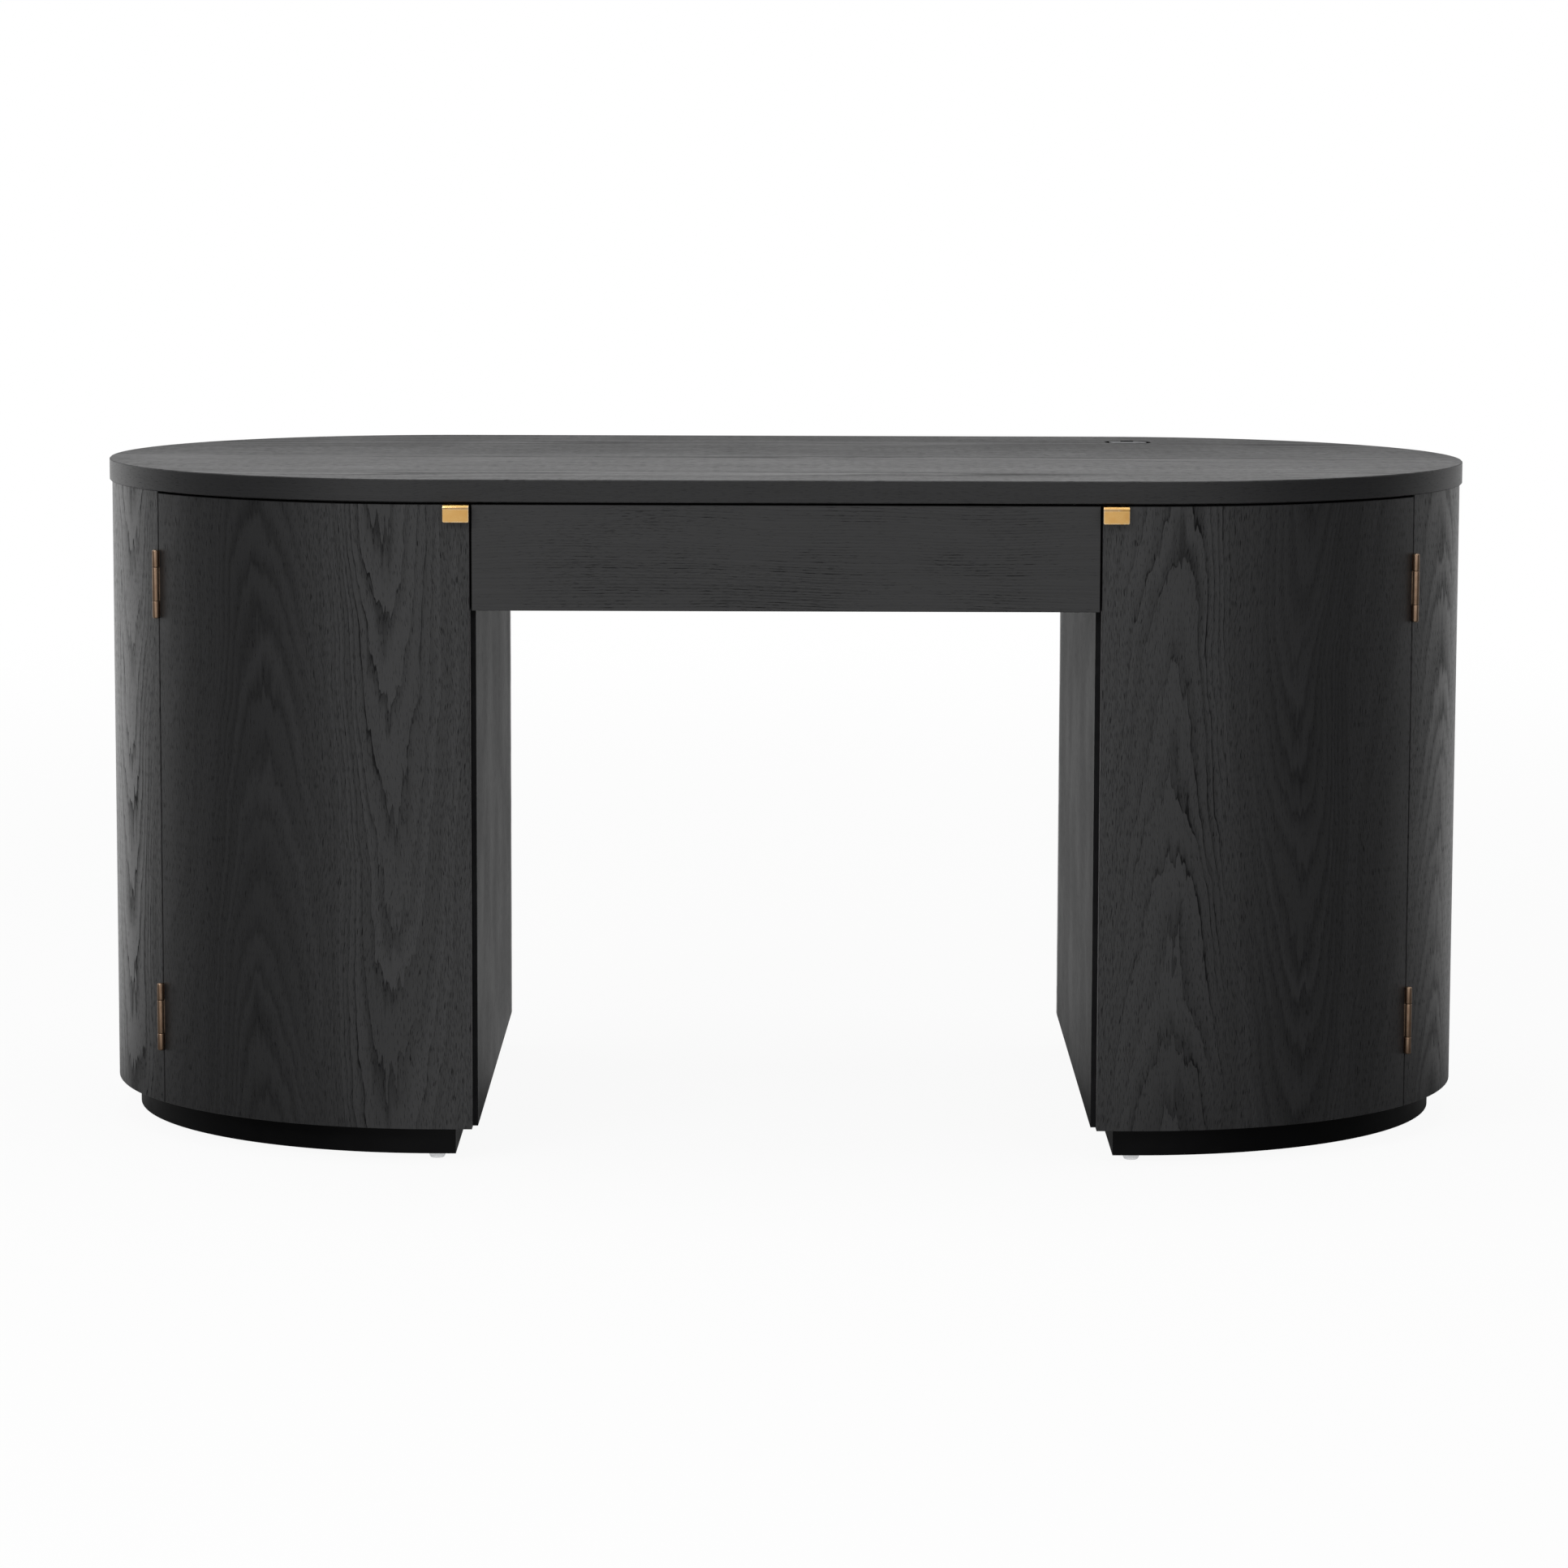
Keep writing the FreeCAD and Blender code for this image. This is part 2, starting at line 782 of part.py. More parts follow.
def front_screw_spots():
    """Screws from inside the box into the drawer front."""
    back = drawer_back_plane() + box_side_thickness
    heights = (box_bottom + front_screw_edge, box_bottom + box_height - front_screw_edge)
    return [
        (Vector(share * box_half, back, height), Vector(0, -1, 0), front_screw_length)
        for share in front_screw_shares
        for height in heights
    ]


def drawer_front():
    """Front panel in line with the doors."""
    half = door_inner_edge - drawer_gap
    panel = band(0, door_thickness, drawer_bottom_edge, door_top)
    panel = panel.common(box(-half, half, -reach, 0, drawer_bottom_edge, door_top))
    return drilled(eased(panel), front_screw_spots())


def bottom_groove():
    """Room that the bottom's edges take in the four walls of the box."""
    low = box_bottom + box_bottom_lift
    wide = box_half + groove_depth
    front = drawer_back_plane() + box_side_thickness - groove_depth
    back = drawer_back_plane() + box_depth - box_side_thickness + groove_depth
    return box(-wide, wide, front, back, low, low + box_bottom_thickness + groove_clearance)


def drawer_side():
    """Right side of the drawer box."""
    y = drawer_back_plane()
    wall = box(box_half, slide_face, y, y + box_depth, box_bottom, box_bottom + box_height)
    return drilled(wall.cut(bottom_groove()), slide_box_screw_spots())


def drawer_cross_wall(y):
    """Front or back wall of the box, between its sides."""
    wall = box(-box_half, box_half, y, y + box_side_thickness, box_bottom, box_bottom + box_height)
    return wall.cut(bottom_groove())


def drawer_bottom():
    """Bottom panel held in the grooves."""
    groove = bottom_groove().BoundBox
    room = groove_clearance
    return box(
        groove.XMin + room, groove.XMax - room, groove.YMin + room, groove.YMax - room,
        groove.ZMin, groove.ZMax - room
    )


def channel(web_x, tip_x, height, low_z):
    """Steel channel of a slide with its web at web_x and its flange tips at tip_x."""
    y = drawer_back_plane() + door_back_gap + slide_front_setback
    low_x, high_x = sorted((web_x, tip_x))
    body = box(low_x, high_x, y, y + slide_length, low_z, low_z + height)
    inner_web = web_x + math.copysign(slide_steel, tip_x - web_x)
    past_tip = tip_x + math.copysign(overrun, tip_x - web_x)
    low_x, high_x = sorted((inner_web, past_tip))
    return body.cut(
        box(
            low_x, high_x, y - overrun, y + slide_length + overrun,
            low_z + slide_steel, low_z + height - slide_steel
        )
    )


def slide_low():
    """Height of the lower edge of the slides."""
    return box_bottom + slide_lift


def slide_screw_spots():
    """Screws through the outer channel into the side panel."""
    y = drawer_back_plane() + door_back_gap + slide_front_setback
    x = knee_half - slide_steel
    z = slide_low() + slide_height / 2
    return [
        (Vector(x, y + share * slide_length, z), Vector(1, 0, 0), slide_screw_length)
        for share in slide_screw_shares
    ]


def slide_box_screw_spots():
    """Screws through the inner channel into the drawer side."""
    y = drawer_back_plane() + door_back_gap + slide_front_setback
    x = slide_face + slide_steel
    z = slide_low() + slide_height / 2
    return [
        (Vector(x, y + share * slide_length, z), Vector(-1, 0, 0), box_screw_length)
        for share in slide_screw_shares
    ]


def slide_outer():
    """Channel on the cabinet's side panel."""
    tip = knee_half - slide_steel - slide_middle_depth
    member = channel(knee_half, tip, slide_height, slide_low())
    return drilled(member, slide_screw_spots())


def slide_middle():
    """Channel that runs between the other two and moves half as far as the drawer."""
    rise = slide_steel + slide_ball_gap
    web = knee_half - slide_steel - slide_web_gap
    return channel(web, web - slide_middle_depth, slide_height - 2 * rise, slide_low() + rise)


def slide_inner():
    """Channel on the drawer's side."""
    rise = 2 * (slide_steel + slide_ball_gap)
    tip = knee_half - 2 * (slide_steel + slide_web_gap)
    member = channel(slide_face, tip, slide_height - 2 * rise, slide_low() + rise)
    return drilled(member, slide_box_screw_spots())


# Output

def mirrored(shape):
    """The same shape on the -X side."""
    return shape.mirror(Vector(0, 0, 0), Vector(1, 0, 0))


def mirrored_spots(spots):
    """The same screw places on the -X side."""
    return [
        (Vector(-spot.x, spot.y, spot.z), Vector(-way.x, way.y, way.z), length)
        for spot, way, length in spots
    ]


def write(name, pieces):
    """Writes one node: a solid, or several as a group."""
    solids = [solid for piece in pieces for solid in piece.Solids]
    for solid in solids:
        if not solid.isValid():
            print("not valid:", name)
    shape = solids[0] if len(solids) == 1 else Part.makeCompound(solids)
    shape.exportStep(os.path.join("parts", name + ".step"))


def write_pair(name, pieces, right_only=None):
    """Writes the right_ node and its mirror image; right_only changes the right one alone."""
    write("left_" + name, [mirrored(piece) for piece in pieces])
    write("right_" + name, [right_only(piece) for piece in pieces] if right_only else pieces)


def main():
    """Builds every piece of the desk."""
    os.makedirs("parts", exist_ok=True)
    write("desktop", [desktop()])
    write("grommet_sleeve", [grommet_sleeve()])
    write("grommet_cap", [grommet_cap()])
    write("rear_apron", [rear_apron()])
    write("apron_dowels", apron_dowels())

    write_pair("side_panel", [side_panel()])
    write_pair("shell", [shell()], with_cable_port)
    write_pair("base_panel", [base_panel()])
    write_pair("top_panel", [top_panel()], with_grommet_hole)
    write_pair("shelf", [shelf()], with_grommet_hole)
    write_pair("shelf_pins", shelf_pins())
    write_pair("top_screws", screws(top_screw_spots()))
    write_pair("catch", magnetic_catch())

    write_pair("plinth_curve", [plinth_curve()])
    write_pair("plinth_board", [plinth_board()])
    write_pair("glide_blocks", glide_blocks())
    write_pair("glides", glides())

    write_pair("door", [door()])
    write_pair("door_pull", [door_pull()])
    write_pair("pull_screws", screws(pull_screw_spots()))
    write_pair("strike", [door_strike()])
    write_pair("hinge_shell_leaves", [hinge_leaf(1, height) for height in hinge_heights()])
    write_pair("hinge_door_leaves", [hinge_leaf(-1, height) for height in hinge_heights()])
    write_pair("hinge_pins", [hinge_pin(height) for height in hinge_heights()])
    write_pair("hinge_shell_screws", screws(leaf_screw_spots(1)))
    write_pair("hinge_door_screws", screws(leaf_screw_spots(-1)))

    write("drawer_front", [drawer_front()])
    write("drawer_right_side", [drawer_side()])
    write("drawer_left_side", [mirrored(drawer_side())])
    write("drawer_box_front", [drilled(drawer_cross_wall(drawer_back_plane()), front_screw_spots())])
    write("drawer_box_back", [drawer_cross_wall(drawer_back_plane() + box_depth - box_side_thickness)])
    write("drawer_bottom", [drawer_bottom()])
    write("drawer_front_screws", screws(front_screw_spots()))

    outer, middle, inner = slide_outer(), slide_middle(), slide_inner()
    cabinet_screws, box_screws = screws(slide_screw_spots()), screws(slide_box_screw_spots())
    write("slide_outers", [outer, mirrored(outer)])
    write("slide_middles", [middle, mirrored(middle)])
    write("slide_inners", [inner, mirrored(inner)])
    write("slide_cabinet_screws", cabinet_screws + [mirrored(piece) for piece in cabinet_screws])
    write("slide_box_screws", box_screws + [mirrored(piece) for piece in box_screws])


main()
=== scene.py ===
"""Looks of an oval executive desk in black-stained open-pore oak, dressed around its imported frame.

Lengths are metres in the frame's own axes: X along the desk, -Y towards the sitter, Z up.
"""

from __future__ import annotations

import json
import logging
import math
from dataclasses import dataclass, field
from enum import Enum
from typing import Optional, Sequence, Union

import bpy
import numpy as np
from mathutils import Matrix, Vector

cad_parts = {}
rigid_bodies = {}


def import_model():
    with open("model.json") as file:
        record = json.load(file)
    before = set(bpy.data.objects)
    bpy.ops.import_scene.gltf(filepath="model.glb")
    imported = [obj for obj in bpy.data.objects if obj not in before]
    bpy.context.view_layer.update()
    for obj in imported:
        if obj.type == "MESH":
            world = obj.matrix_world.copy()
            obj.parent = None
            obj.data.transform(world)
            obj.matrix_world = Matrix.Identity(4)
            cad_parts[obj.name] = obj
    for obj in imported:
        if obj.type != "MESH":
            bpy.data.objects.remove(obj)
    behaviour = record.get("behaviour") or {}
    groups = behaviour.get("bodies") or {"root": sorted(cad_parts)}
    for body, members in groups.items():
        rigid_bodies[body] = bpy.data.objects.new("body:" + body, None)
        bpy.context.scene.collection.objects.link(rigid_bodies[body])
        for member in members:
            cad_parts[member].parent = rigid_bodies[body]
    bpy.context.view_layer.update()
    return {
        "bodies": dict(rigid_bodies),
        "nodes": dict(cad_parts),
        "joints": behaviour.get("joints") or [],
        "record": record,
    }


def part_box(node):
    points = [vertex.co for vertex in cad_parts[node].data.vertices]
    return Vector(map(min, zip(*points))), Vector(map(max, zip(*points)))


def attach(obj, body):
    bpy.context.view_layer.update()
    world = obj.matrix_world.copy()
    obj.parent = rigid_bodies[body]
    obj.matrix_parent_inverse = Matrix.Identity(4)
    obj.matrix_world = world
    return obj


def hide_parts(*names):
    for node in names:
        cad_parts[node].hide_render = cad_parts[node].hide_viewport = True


LOG = logging.getLogger("oval_desk")
FULL_TURN = np.linspace(0, 2 * np.pi, 48, endpoint=False)
QUARTER = np.pi / 2
LEVEL_SHARE = 0.5
UPRIGHT = (np.array([1.0, 0.0, 0.0]), np.array([0.0, 1.0, 0.0]), np.array([0.0, 0.0, 1.0]))
OAK_NUMBERS = (
    "leaf_width", "leaf_shift", "seed", "ring_width", "heart_depth", "slope", "lean", "waver",
    "pore_length", "dash_gap", "dash_length", "patchiness", "end_fade", "soft_turn", "shoulder",
    "plain_leaf",
)

Feed = Union[float, Sequence[float], "Reading"]
Feeds = dict[Union[int, str], Feed]
Colour = tuple[int, int, int]


def linear(colour: Colour) -> tuple[float, float, float, float]:
    """Turn an sRGB colour into the linear colour that shaders take.

    Args:
        colour: red, green and blue from 0 to 255.

    Returns:
        Linear red, green, blue and an alpha of 1.
    """
    shares = [channel / 255 for channel in colour]
    parts = [s / 12.92 if s <= 0.04045 else ((s + 0.055) / 1.055) ** 2.4 for s in shares]
    return (parts[0], parts[1], parts[2], 1.0)


def label(name: str) -> str:
    """Socket's label for a name with underscores."""
    return name.replace("_", " ").title()


@dataclass(frozen=True)
class Reading:
    """Output of a node. Arithmetic on a number's reading adds Math nodes to its sheet."""

    sheet: NodeSheet
    plug: bpy.types.NodeSocket

    def __add__(self, other: Feed) -> Reading:
        """Sum."""
        return self.sheet.math("ADD", self, other)

    def __sub__(self, other: Feed) -> Reading:
        """Difference."""
        return self.sheet.math("SUBTRACT", self, other)

    def __rsub__(self, other: float) -> Reading:
        """What is left of a plain number."""
        return self.sheet.math("SUBTRACT", other, self)

    def __mul__(self, other: Feed) -> Reading:
        """Product."""
        return self.sheet.math("MULTIPLY", self, other)

    def __truediv__(self, other: Feed) -> Reading:
        """Quotient."""
        return self.sheet.math("DIVIDE", self, other)

    def __mod__(self, other: float) -> Reading:
        """Remainder, which is never below zero."""
        return self.sheet.math("FLOORED_MODULO", self, other)

    def __abs__(self) -> Reading:
        """Size without the sign."""
        return self.sheet.math("ABSOLUTE", self)


class NodeSheet:
    """Pencil for one node tree: each method adds a node, joins it up and returns what it reads."""

    def __init__(self, tree: bpy.types.NodeTree) -> None:
        """Keep the tree that the nodes go to."""
        self.tree = tree

    def feed(self, socket: bpy.types.NodeSocket, value: Feed) -> None:
        """Link a reading to a socket, or set the socket's own value.

        Args:
            socket: the node's input.
            value: the reading, number, vector or colour that it takes.
        """
        if isinstance(value, Reading):
            self.tree.links.new(value.plug, socket)
        else:
            socket.default_value = value

    def node(self, kind: str, feeds: Optional[Feeds] = None, **settings: object) -> bpy.types.Node:
        """Add a node.

        Args:
            kind: Blender's name of the node's type.
            feeds: what feeds its inputs, by their names or places.
            settings: properties to set on it.

        Returns:
            The new node.
        """
        made = self.tree.nodes.new(kind)
        for name, value in settings.items():
            setattr(made, name, value)
        for at, value in (feeds or {}).items():
            self.feed(made.inputs[at], value)
        return made

    def read(
        self, kind: str, feeds: Optional[Feeds] = None, output: Union[int, str] = 0, **settings: object
    ) -> Reading:
        """Add a node as node does, and read one of its outputs.

        Args:
            kind: Blender's name of the node's type.
            feeds: what feeds its inputs, by their names or places.
            output: the output's name or place.
            settings: properties to set on it.

        Returns:
            The output's reading.
        """
        return Reading(self, self.node(kind, feeds, **settings).outputs[output])

    def math(self, operation: str, *values: Feed, clamp: bool = False) -> Reading:
        """Number that one Math node works out, kept from 0 to 1 when it is clamped."""
        return self.read("ShaderNodeMath", dict(enumerate(values)), operation=operation, use_clamp=clamp)

    def root(self, value: Reading) -> Reading:
        """Square root."""
        return self.math("SQRT", value)

    def larger(self, first: Feed, second: Feed) -> Reading:
        """Larger of two numbers."""
        return self.math("MAXIMUM", first, second)

    def combine(self, x: Feed, y: Feed, z: Feed) -> Reading:
        """Vector of three numbers."""
        return self.read("ShaderNodeCombineXYZ", {0: x, 1: y, 2: z})

    def split(self, vector: Reading) -> tuple[Reading, Reading, Reading]:
        """Three numbers of a vector."""
        x, y, z = self.node("ShaderNodeSeparateXYZ", {0: vector}).outputs
        return Reading(self, x), Reading(self, y), Reading(self, z)

    def stretched(self, vector: Reading, scale: Sequence[float], shift: Feed) -> Reading:
        """Vector scaled along each axis and then moved."""
        return self.read("ShaderNodeVectorMath", {0: vector, 1: scale, 2: shift}, operation="MULTIPLY_ADD")

    def scaled(self, vector: Feed, factor: Reading) -> Reading:
        """Vector or colour scaled by a number."""
        return self.read("ShaderNodeVectorMath", {0: vector, "Scale": factor}, operation="SCALE")

    def noise(self, vector: Reading, detail: float = 2.0, roughness: float = 0.5) -> Reading:
        """Smooth noise from 0 to 1 with one unit between its bumps.

        Args:
            vector: place in the noise.
            detail: how many finer layers it has.
            roughness: how strong each finer layer is.

        Returns:
            The noise's reading.
        """
        feeds = {"Vector": vector, "Scale": 1.0, "Detail": detail, "Roughness": roughness}
        return self.read("ShaderNodeTexNoise", feeds, "Fac")

    def chance(self, vector: Reading) -> tuple[Reading, Reading, Reading]:
        """Three random numbers that stay the same for the same vector."""
        return self.split(
            self.read("ShaderNodeTexWhiteNoise", {"Vector": vector}, "Color", noise_dimensions="3D")
        )

    def step(self, value: Feed, low: Feed, high: Feed) -> Reading:
        """Soft step from 0 at low to 1 at high."""
        feeds = {"Value": value, "From Min": low, "From Max": high}
        return self.read("ShaderNodeMapRange", feeds, "Result", interpolation_type="SMOOTHSTEP")

    def between(self, factor: Feed, first: Feed, second: Feed) -> Reading:
        """Number that runs from the first to the second as the factor goes from 0 to 1."""
        return self.read("ShaderNodeMix", {0: factor, 2: first, 3: second}, data_type="FLOAT")

    def chosen(self, factor: Feed, first: Feed, second: Feed) -> Reading:
        """Vector that runs from the first to the second as the factor goes from 0 to 1."""
        return self.read("ShaderNodeMix", {0: factor, 4: first, 5: second}, 1, data_type="VECTOR")

    def tinted(self, factor: Feed, first: Feed, second: Feed) -> Reading:
        """Colour that runs from the first to the second as the factor goes from 0 to 1."""
        return self.read("ShaderNodeMix", {0: factor, 6: first, 7: second}, 2, data_type="RGBA")

    def place(self) -> Reading:
        """Place on the piece, in metres, as Object coordinates."""
        return self.read("ShaderNodeTexCoord", output="Object")

    def relief(self, height: Reading, depth: float) -> Reading:
        """Normal of a surface with a fine relief of a depth in metres."""
        return self.read("ShaderNodeBump", {"Height": height, "Distance": depth, "Strength": 1.0})

    def use(self, group: bpy.types.NodeTree, **values: Feed) -> dict[str, Reading]:
        """Place a node group.

        Args:
            group: the group's tree.
            values: what feeds its inputs, by their names with underscores.

        Returns:
            The readings of its outputs by their labels.
        """
        feeds = {label(name): value for name, value in values.items()}
        made = self.node("ShaderNodeGroup", feeds, node_tree=group)
        return {plug.name: Reading(self, plug) for plug in made.outputs}

    def shade(self, feeds: Feeds) -> None:
        """Add the Principled shader that these sockets feed, and join it to the material's output."""
        shader = self.read("ShaderNodeBsdfPrincipled", feeds)
        self.node("ShaderNodeOutputMaterial", {"Surface": shader})


def empty_sheet(owner: Union[bpy.types.Material, bpy.types.World]) -> NodeSheet:
    """Clear a material or a world of its first nodes.

    Args:
        owner: the material or the world.

    Returns:
        The sheet of its node tree.
    """
    owner.use_nodes = True
    owner.node_tree.nodes.clear()
    return NodeSheet(owner.node_tree)


class SocketKind(Enum):
    """Kinds of socket that the node groups have."""

    NUMBER = "NodeSocketFloat"
    VECTOR = "NodeSocketVector"


class GroupSheet(NodeSheet):
    """Sheet of a new shader node group, which takes one vector and some numbers."""

    def __init__(self, name: str, vector: str, *numbers: str) -> None:
        """Start the group.

        Args:
            name: the group's name.
            vector: name of the vector that it takes.
            numbers: names of the numbers that it takes.
        """
        super().__init__(bpy.data.node_groups.new(name, "ShaderNodeTree"))
        self.open_socket(vector, SocketKind.VECTOR, "INPUT")
        for number in numbers:
            self.open_socket(number, SocketKind.NUMBER, "INPUT")
        plugs = self.node("NodeGroupInput").outputs
        self.given = [Reading(self, plugs[label(taken)]) for taken in (vector, *numbers)]

    def open_socket(self, name: str, kind: SocketKind, way: str) -> None:
        """Give the group a socket."""
        self.tree.interface.new_socket(name=label(name), in_out=way, socket_type=kind.value)

    def close(self, **results: Reading) -> bpy.types.NodeTree:
        """Give the group its outputs, and return its tree.

        Args:
            results: what feeds each output, by its name with underscores.

        Returns:
            The group's tree.
        """
        for name, reading in results.items():
            kind = SocketKind.VECTOR if reading.plug.type == "VECTOR" else SocketKind.NUMBER
            self.open_socket(name, kind, "OUTPUT")
        self.node("NodeGroupOutput", {label(name): reading for name, reading in results.items()})
        return self.tree


def unrolled_wall_group() -> bpy.types.NodeTree:
    """Lay the desk's oval wall out flat.

    The wall's outline is two half circles joined by straight lines. With dx the length past the end's
    centre and t the angle atan2(dx, -y), the way along the wall from the front's middle is the flat part
    plus radius times t, and at the back the flat part counts backwards.

    Returns:
        The group, whose vector holds the way along the wall, the height and the depth in the board.
    """
    sheet = GroupSheet("Unrolled Wall", "place", "end_centre", "end_radius")
    place, centre, radius = sheet.given
    x, y, z = sheet.split(place)
    past = sheet.larger(abs(x) - centre, 0.0)
    flat = sheet.math("MINIMUM", abs(x), centre)
    turn = sheet.math("ARCTAN2", past, y * -1.0)
    behind = sheet.math("GREATER_THAN", y, 0.0)
    way = turn * radius + sheet.between(behind, flat, centre * 2.0 - flat)
    reach = sheet.root(past * past + y * y)
    return sheet.close(lay=sheet.combine(way * sheet.math("SIGN", x), z, reach - radius))


def oak_figure_group() -> bpy.types.NodeTree:
    """Draw plain-sliced oak veneer from its growth rings.

    A leaf of veneer is a slice past the tree's heart. The way from the heart is sqrt(across^2 + rise^2),
    where the rise grows slowly along the leaf, plus a kink that sharpens the arches and a lean that packs
    the rings closer on one side, past a shoulder. That way over the ring width counts the rings. Noise
    bends the heart line, swells the rings and draws teeth out along the grain, and every second leaf is
    turned end for end. Each ring starts with a sharp line of large pores, broken into dashes, and fades
    outwards in a halo. Short fine pores lie along the grain everywhere, closer together away from the
    heart line. Towards a leaf's joints the ring lines give way to pores alone, as all over the plain leaf.
    Patches can thin out both, and so can a fade towards both ends of the board. The lines are boldest on
    the side that the lean packs. Leaves turned the soft way have blurred wide bands in place of lines.

    Returns:
        The group, which takes a lay of across, along and depth in metres.
    """
    sheet = GroupSheet("Oak Figure", "lay", *OAK_NUMBERS)
    (
        lay, leaf_width, leaf_shift, seed, ring_width, heart_depth, slope, lean, waver, pore_length,
        dash_gap, dash_length, patchiness, end_fade, soft_turn, shoulder, plain_leaf,
    ) = sheet.given
    combine, noise, step, larger = sheet.combine, sheet.noise, sheet.step, sheet.larger
    across, along, depth = sheet.split(lay)
    # Lengths are in metres and counts are to the metre, and a share or a limit has no unit.
    start_spread, depth_spread, heart_half, fade_length = 0.35, 0.06, 0.018, 0.12
    kink_share, kink_square, shoulder_square, year_spread = 0.04, 0.000004, 0.00006, 1.9
    dash_count, dash_shift, fibre_count, fibre_along = 110.0, 3.3, 420.0, 9.0
    long_pores, short_pores, short_share, pore_limit, pore_edge = 760.0, 1200.0, 0.6, 0.76, 0.12

    leaf_place = across / leaf_width + leaf_shift
    leaf = sheet.math("FLOOR", leaf_place)
    in_leaf = leaf_place - leaf - 0.5
    off_heart = in_leaf * leaf_width
    odd_along, odd_depth, odd_tone = sheet.chance(combine(leaf, seed, 0.5))
    turned = leaf % 2.0 * 2.0 - 1.0
    soft = larger(turned * soft_turn, 0.0)
    own_along = along * turned + odd_along * start_spread
    own_noise = combine(seed * 7.31, leaf * 3.7, 0.0)
    local = combine(off_heart, own_along, depth)

    def wander(across_count: float, along_count: float, detail: float, reach: float) -> Reading:
        """Noise of the leaf's own, with its bumps to the metre each way, within half a reach of zero."""
        place = sheet.stretched(local, (across_count, along_count, across_count), own_noise)
        return (noise(place, detail) - 0.5) * reach

    bends = wander(5.0, 2.4, 1.0, 0.07) + wander(30.0, 8.0, 2.0, 0.012)
    from_heart = bends * waver + off_heart
    away = abs(from_heart)
    aside = away / (away + heart_half)
    swells = wander(5.0, 5.0, 1.0, 0.009) + wander(55.0, 24.0, 2.0, 0.0026)
    teeth = wander(150.0, 13.0, 2.0, 0.0065) * (1.15 - aside)
    rise = own_along * (slope * (soft * 0.6 + 1.0)) + heart_depth - odd_depth * depth_spread
    rise = (swells + teeth) * waver + rise
    packed = from_heart * sheet.math("SIGN", lean)
    past = packed - shoulder
    round_past = (past + sheet.root(past * past + shoulder_square)) * 0.5
    kink = sheet.root(away * away + kink_square) * kink_share
    way = sheet.root(rise * rise + away * away) + kink + round_past * abs(lean)

    even_place = way / ring_width
    years = combine(even_place * 0.33, leaf * 5.1, seed)
    ring_place = noise(years, 1.0) * year_spread + even_place
    ring = sheet.math("FLOOR", ring_place)
    in_ring = ring_place - ring
    ring_odds, band_odds, year_odds = sheet.chance(combine(ring, leaf, seed))

    bold = larger(step(packed, -0.02, 0.012) * 0.5 + 0.5, soft)
    start = step(in_ring, 0.0, soft * 0.22 + 0.03)
    dash_across = off_heart * dash_count + ring * dash_shift
    dash_place = combine(dash_across, own_along / dash_length, depth * dash_count + seed)
    dashes = step(noise(dash_place), dash_gap, dash_gap + 0.2) * 0.8 + 0.2
    core_end = (ring_odds * 0.26 + 0.12) * (aside * 0.7 + 0.3)
    core = (1.0 - step(in_ring, 0.0, core_end)) * (ring_odds * 0.5 + 0.75) * (1.0 - soft * 0.5) * dashes
    halo_end = band_odds * 0.45 + soft * 0.3 + 0.35
    halo = (1.0 - step(in_ring, 0.0, halo_end)) * (0.68 - aside * 0.5 - soft * 0.06)

    near_joint = step(abs(in_leaf) * 2.0, 0.5, 0.95)
    off_plain = step(abs(leaf - plain_leaf), 0.2, 0.8)
    presence = step(wander(4.0, 3.2, 1.0, 2.0), -0.45, 0.25) * 0.6 + 0.4
    in_figure = (1.0 - near_joint) * off_plain * presence
    ends = 1.0 - step(abs(along) - end_fade, 0.0, fade_length)
    patches = step(wander(16.0, 7.0, 2.0, 2.0), -0.35, 0.35) * ends
    patches = sheet.between(patchiness, 1.0, patches)
    line = start * larger(core, halo) * in_figure * patches * bold

    limit = pore_limit - line * 0.1 - aside * 0.07 + in_figure * 0.05 - patches * 0.1

    def pore_layer(count: float, share: float, offset: float) -> Reading:
        """Short pores along the grain, so many to the metre across, each a share of the pore length."""
        place = combine(from_heart * count + leaf * 31.0, own_along / (pore_length * share), depth * count)
        return step(noise(place, 1.0, 0.4), limit + offset, limit + (offset + pore_edge))

    slow_years = combine(even_place * 0.55, leaf * 9.3, 0.7)
    slow_band = step(noise(slow_years, 1.0), 0.3, 0.7)
    return sheet.close(
        rings=line,
        pores=larger(
            pore_layer(long_pores, 1.0, 0.005), pore_layer(short_pores, short_share, -0.09) * 0.5
        ),
        fibre=noise(combine(from_heart * fibre_count, own_along * fibre_along, depth), 3.0, 0.6),
        cloud=noise(sheet.stretched(local, (11.0, 4.0, 11.0), own_noise), 3.0),
        leaf_tone=odd_tone,
        heart=1.0 - aside,
        year_tone=(slow_band + step(in_ring, 0.15, 0.95) * year_odds) * 0.5,
    )


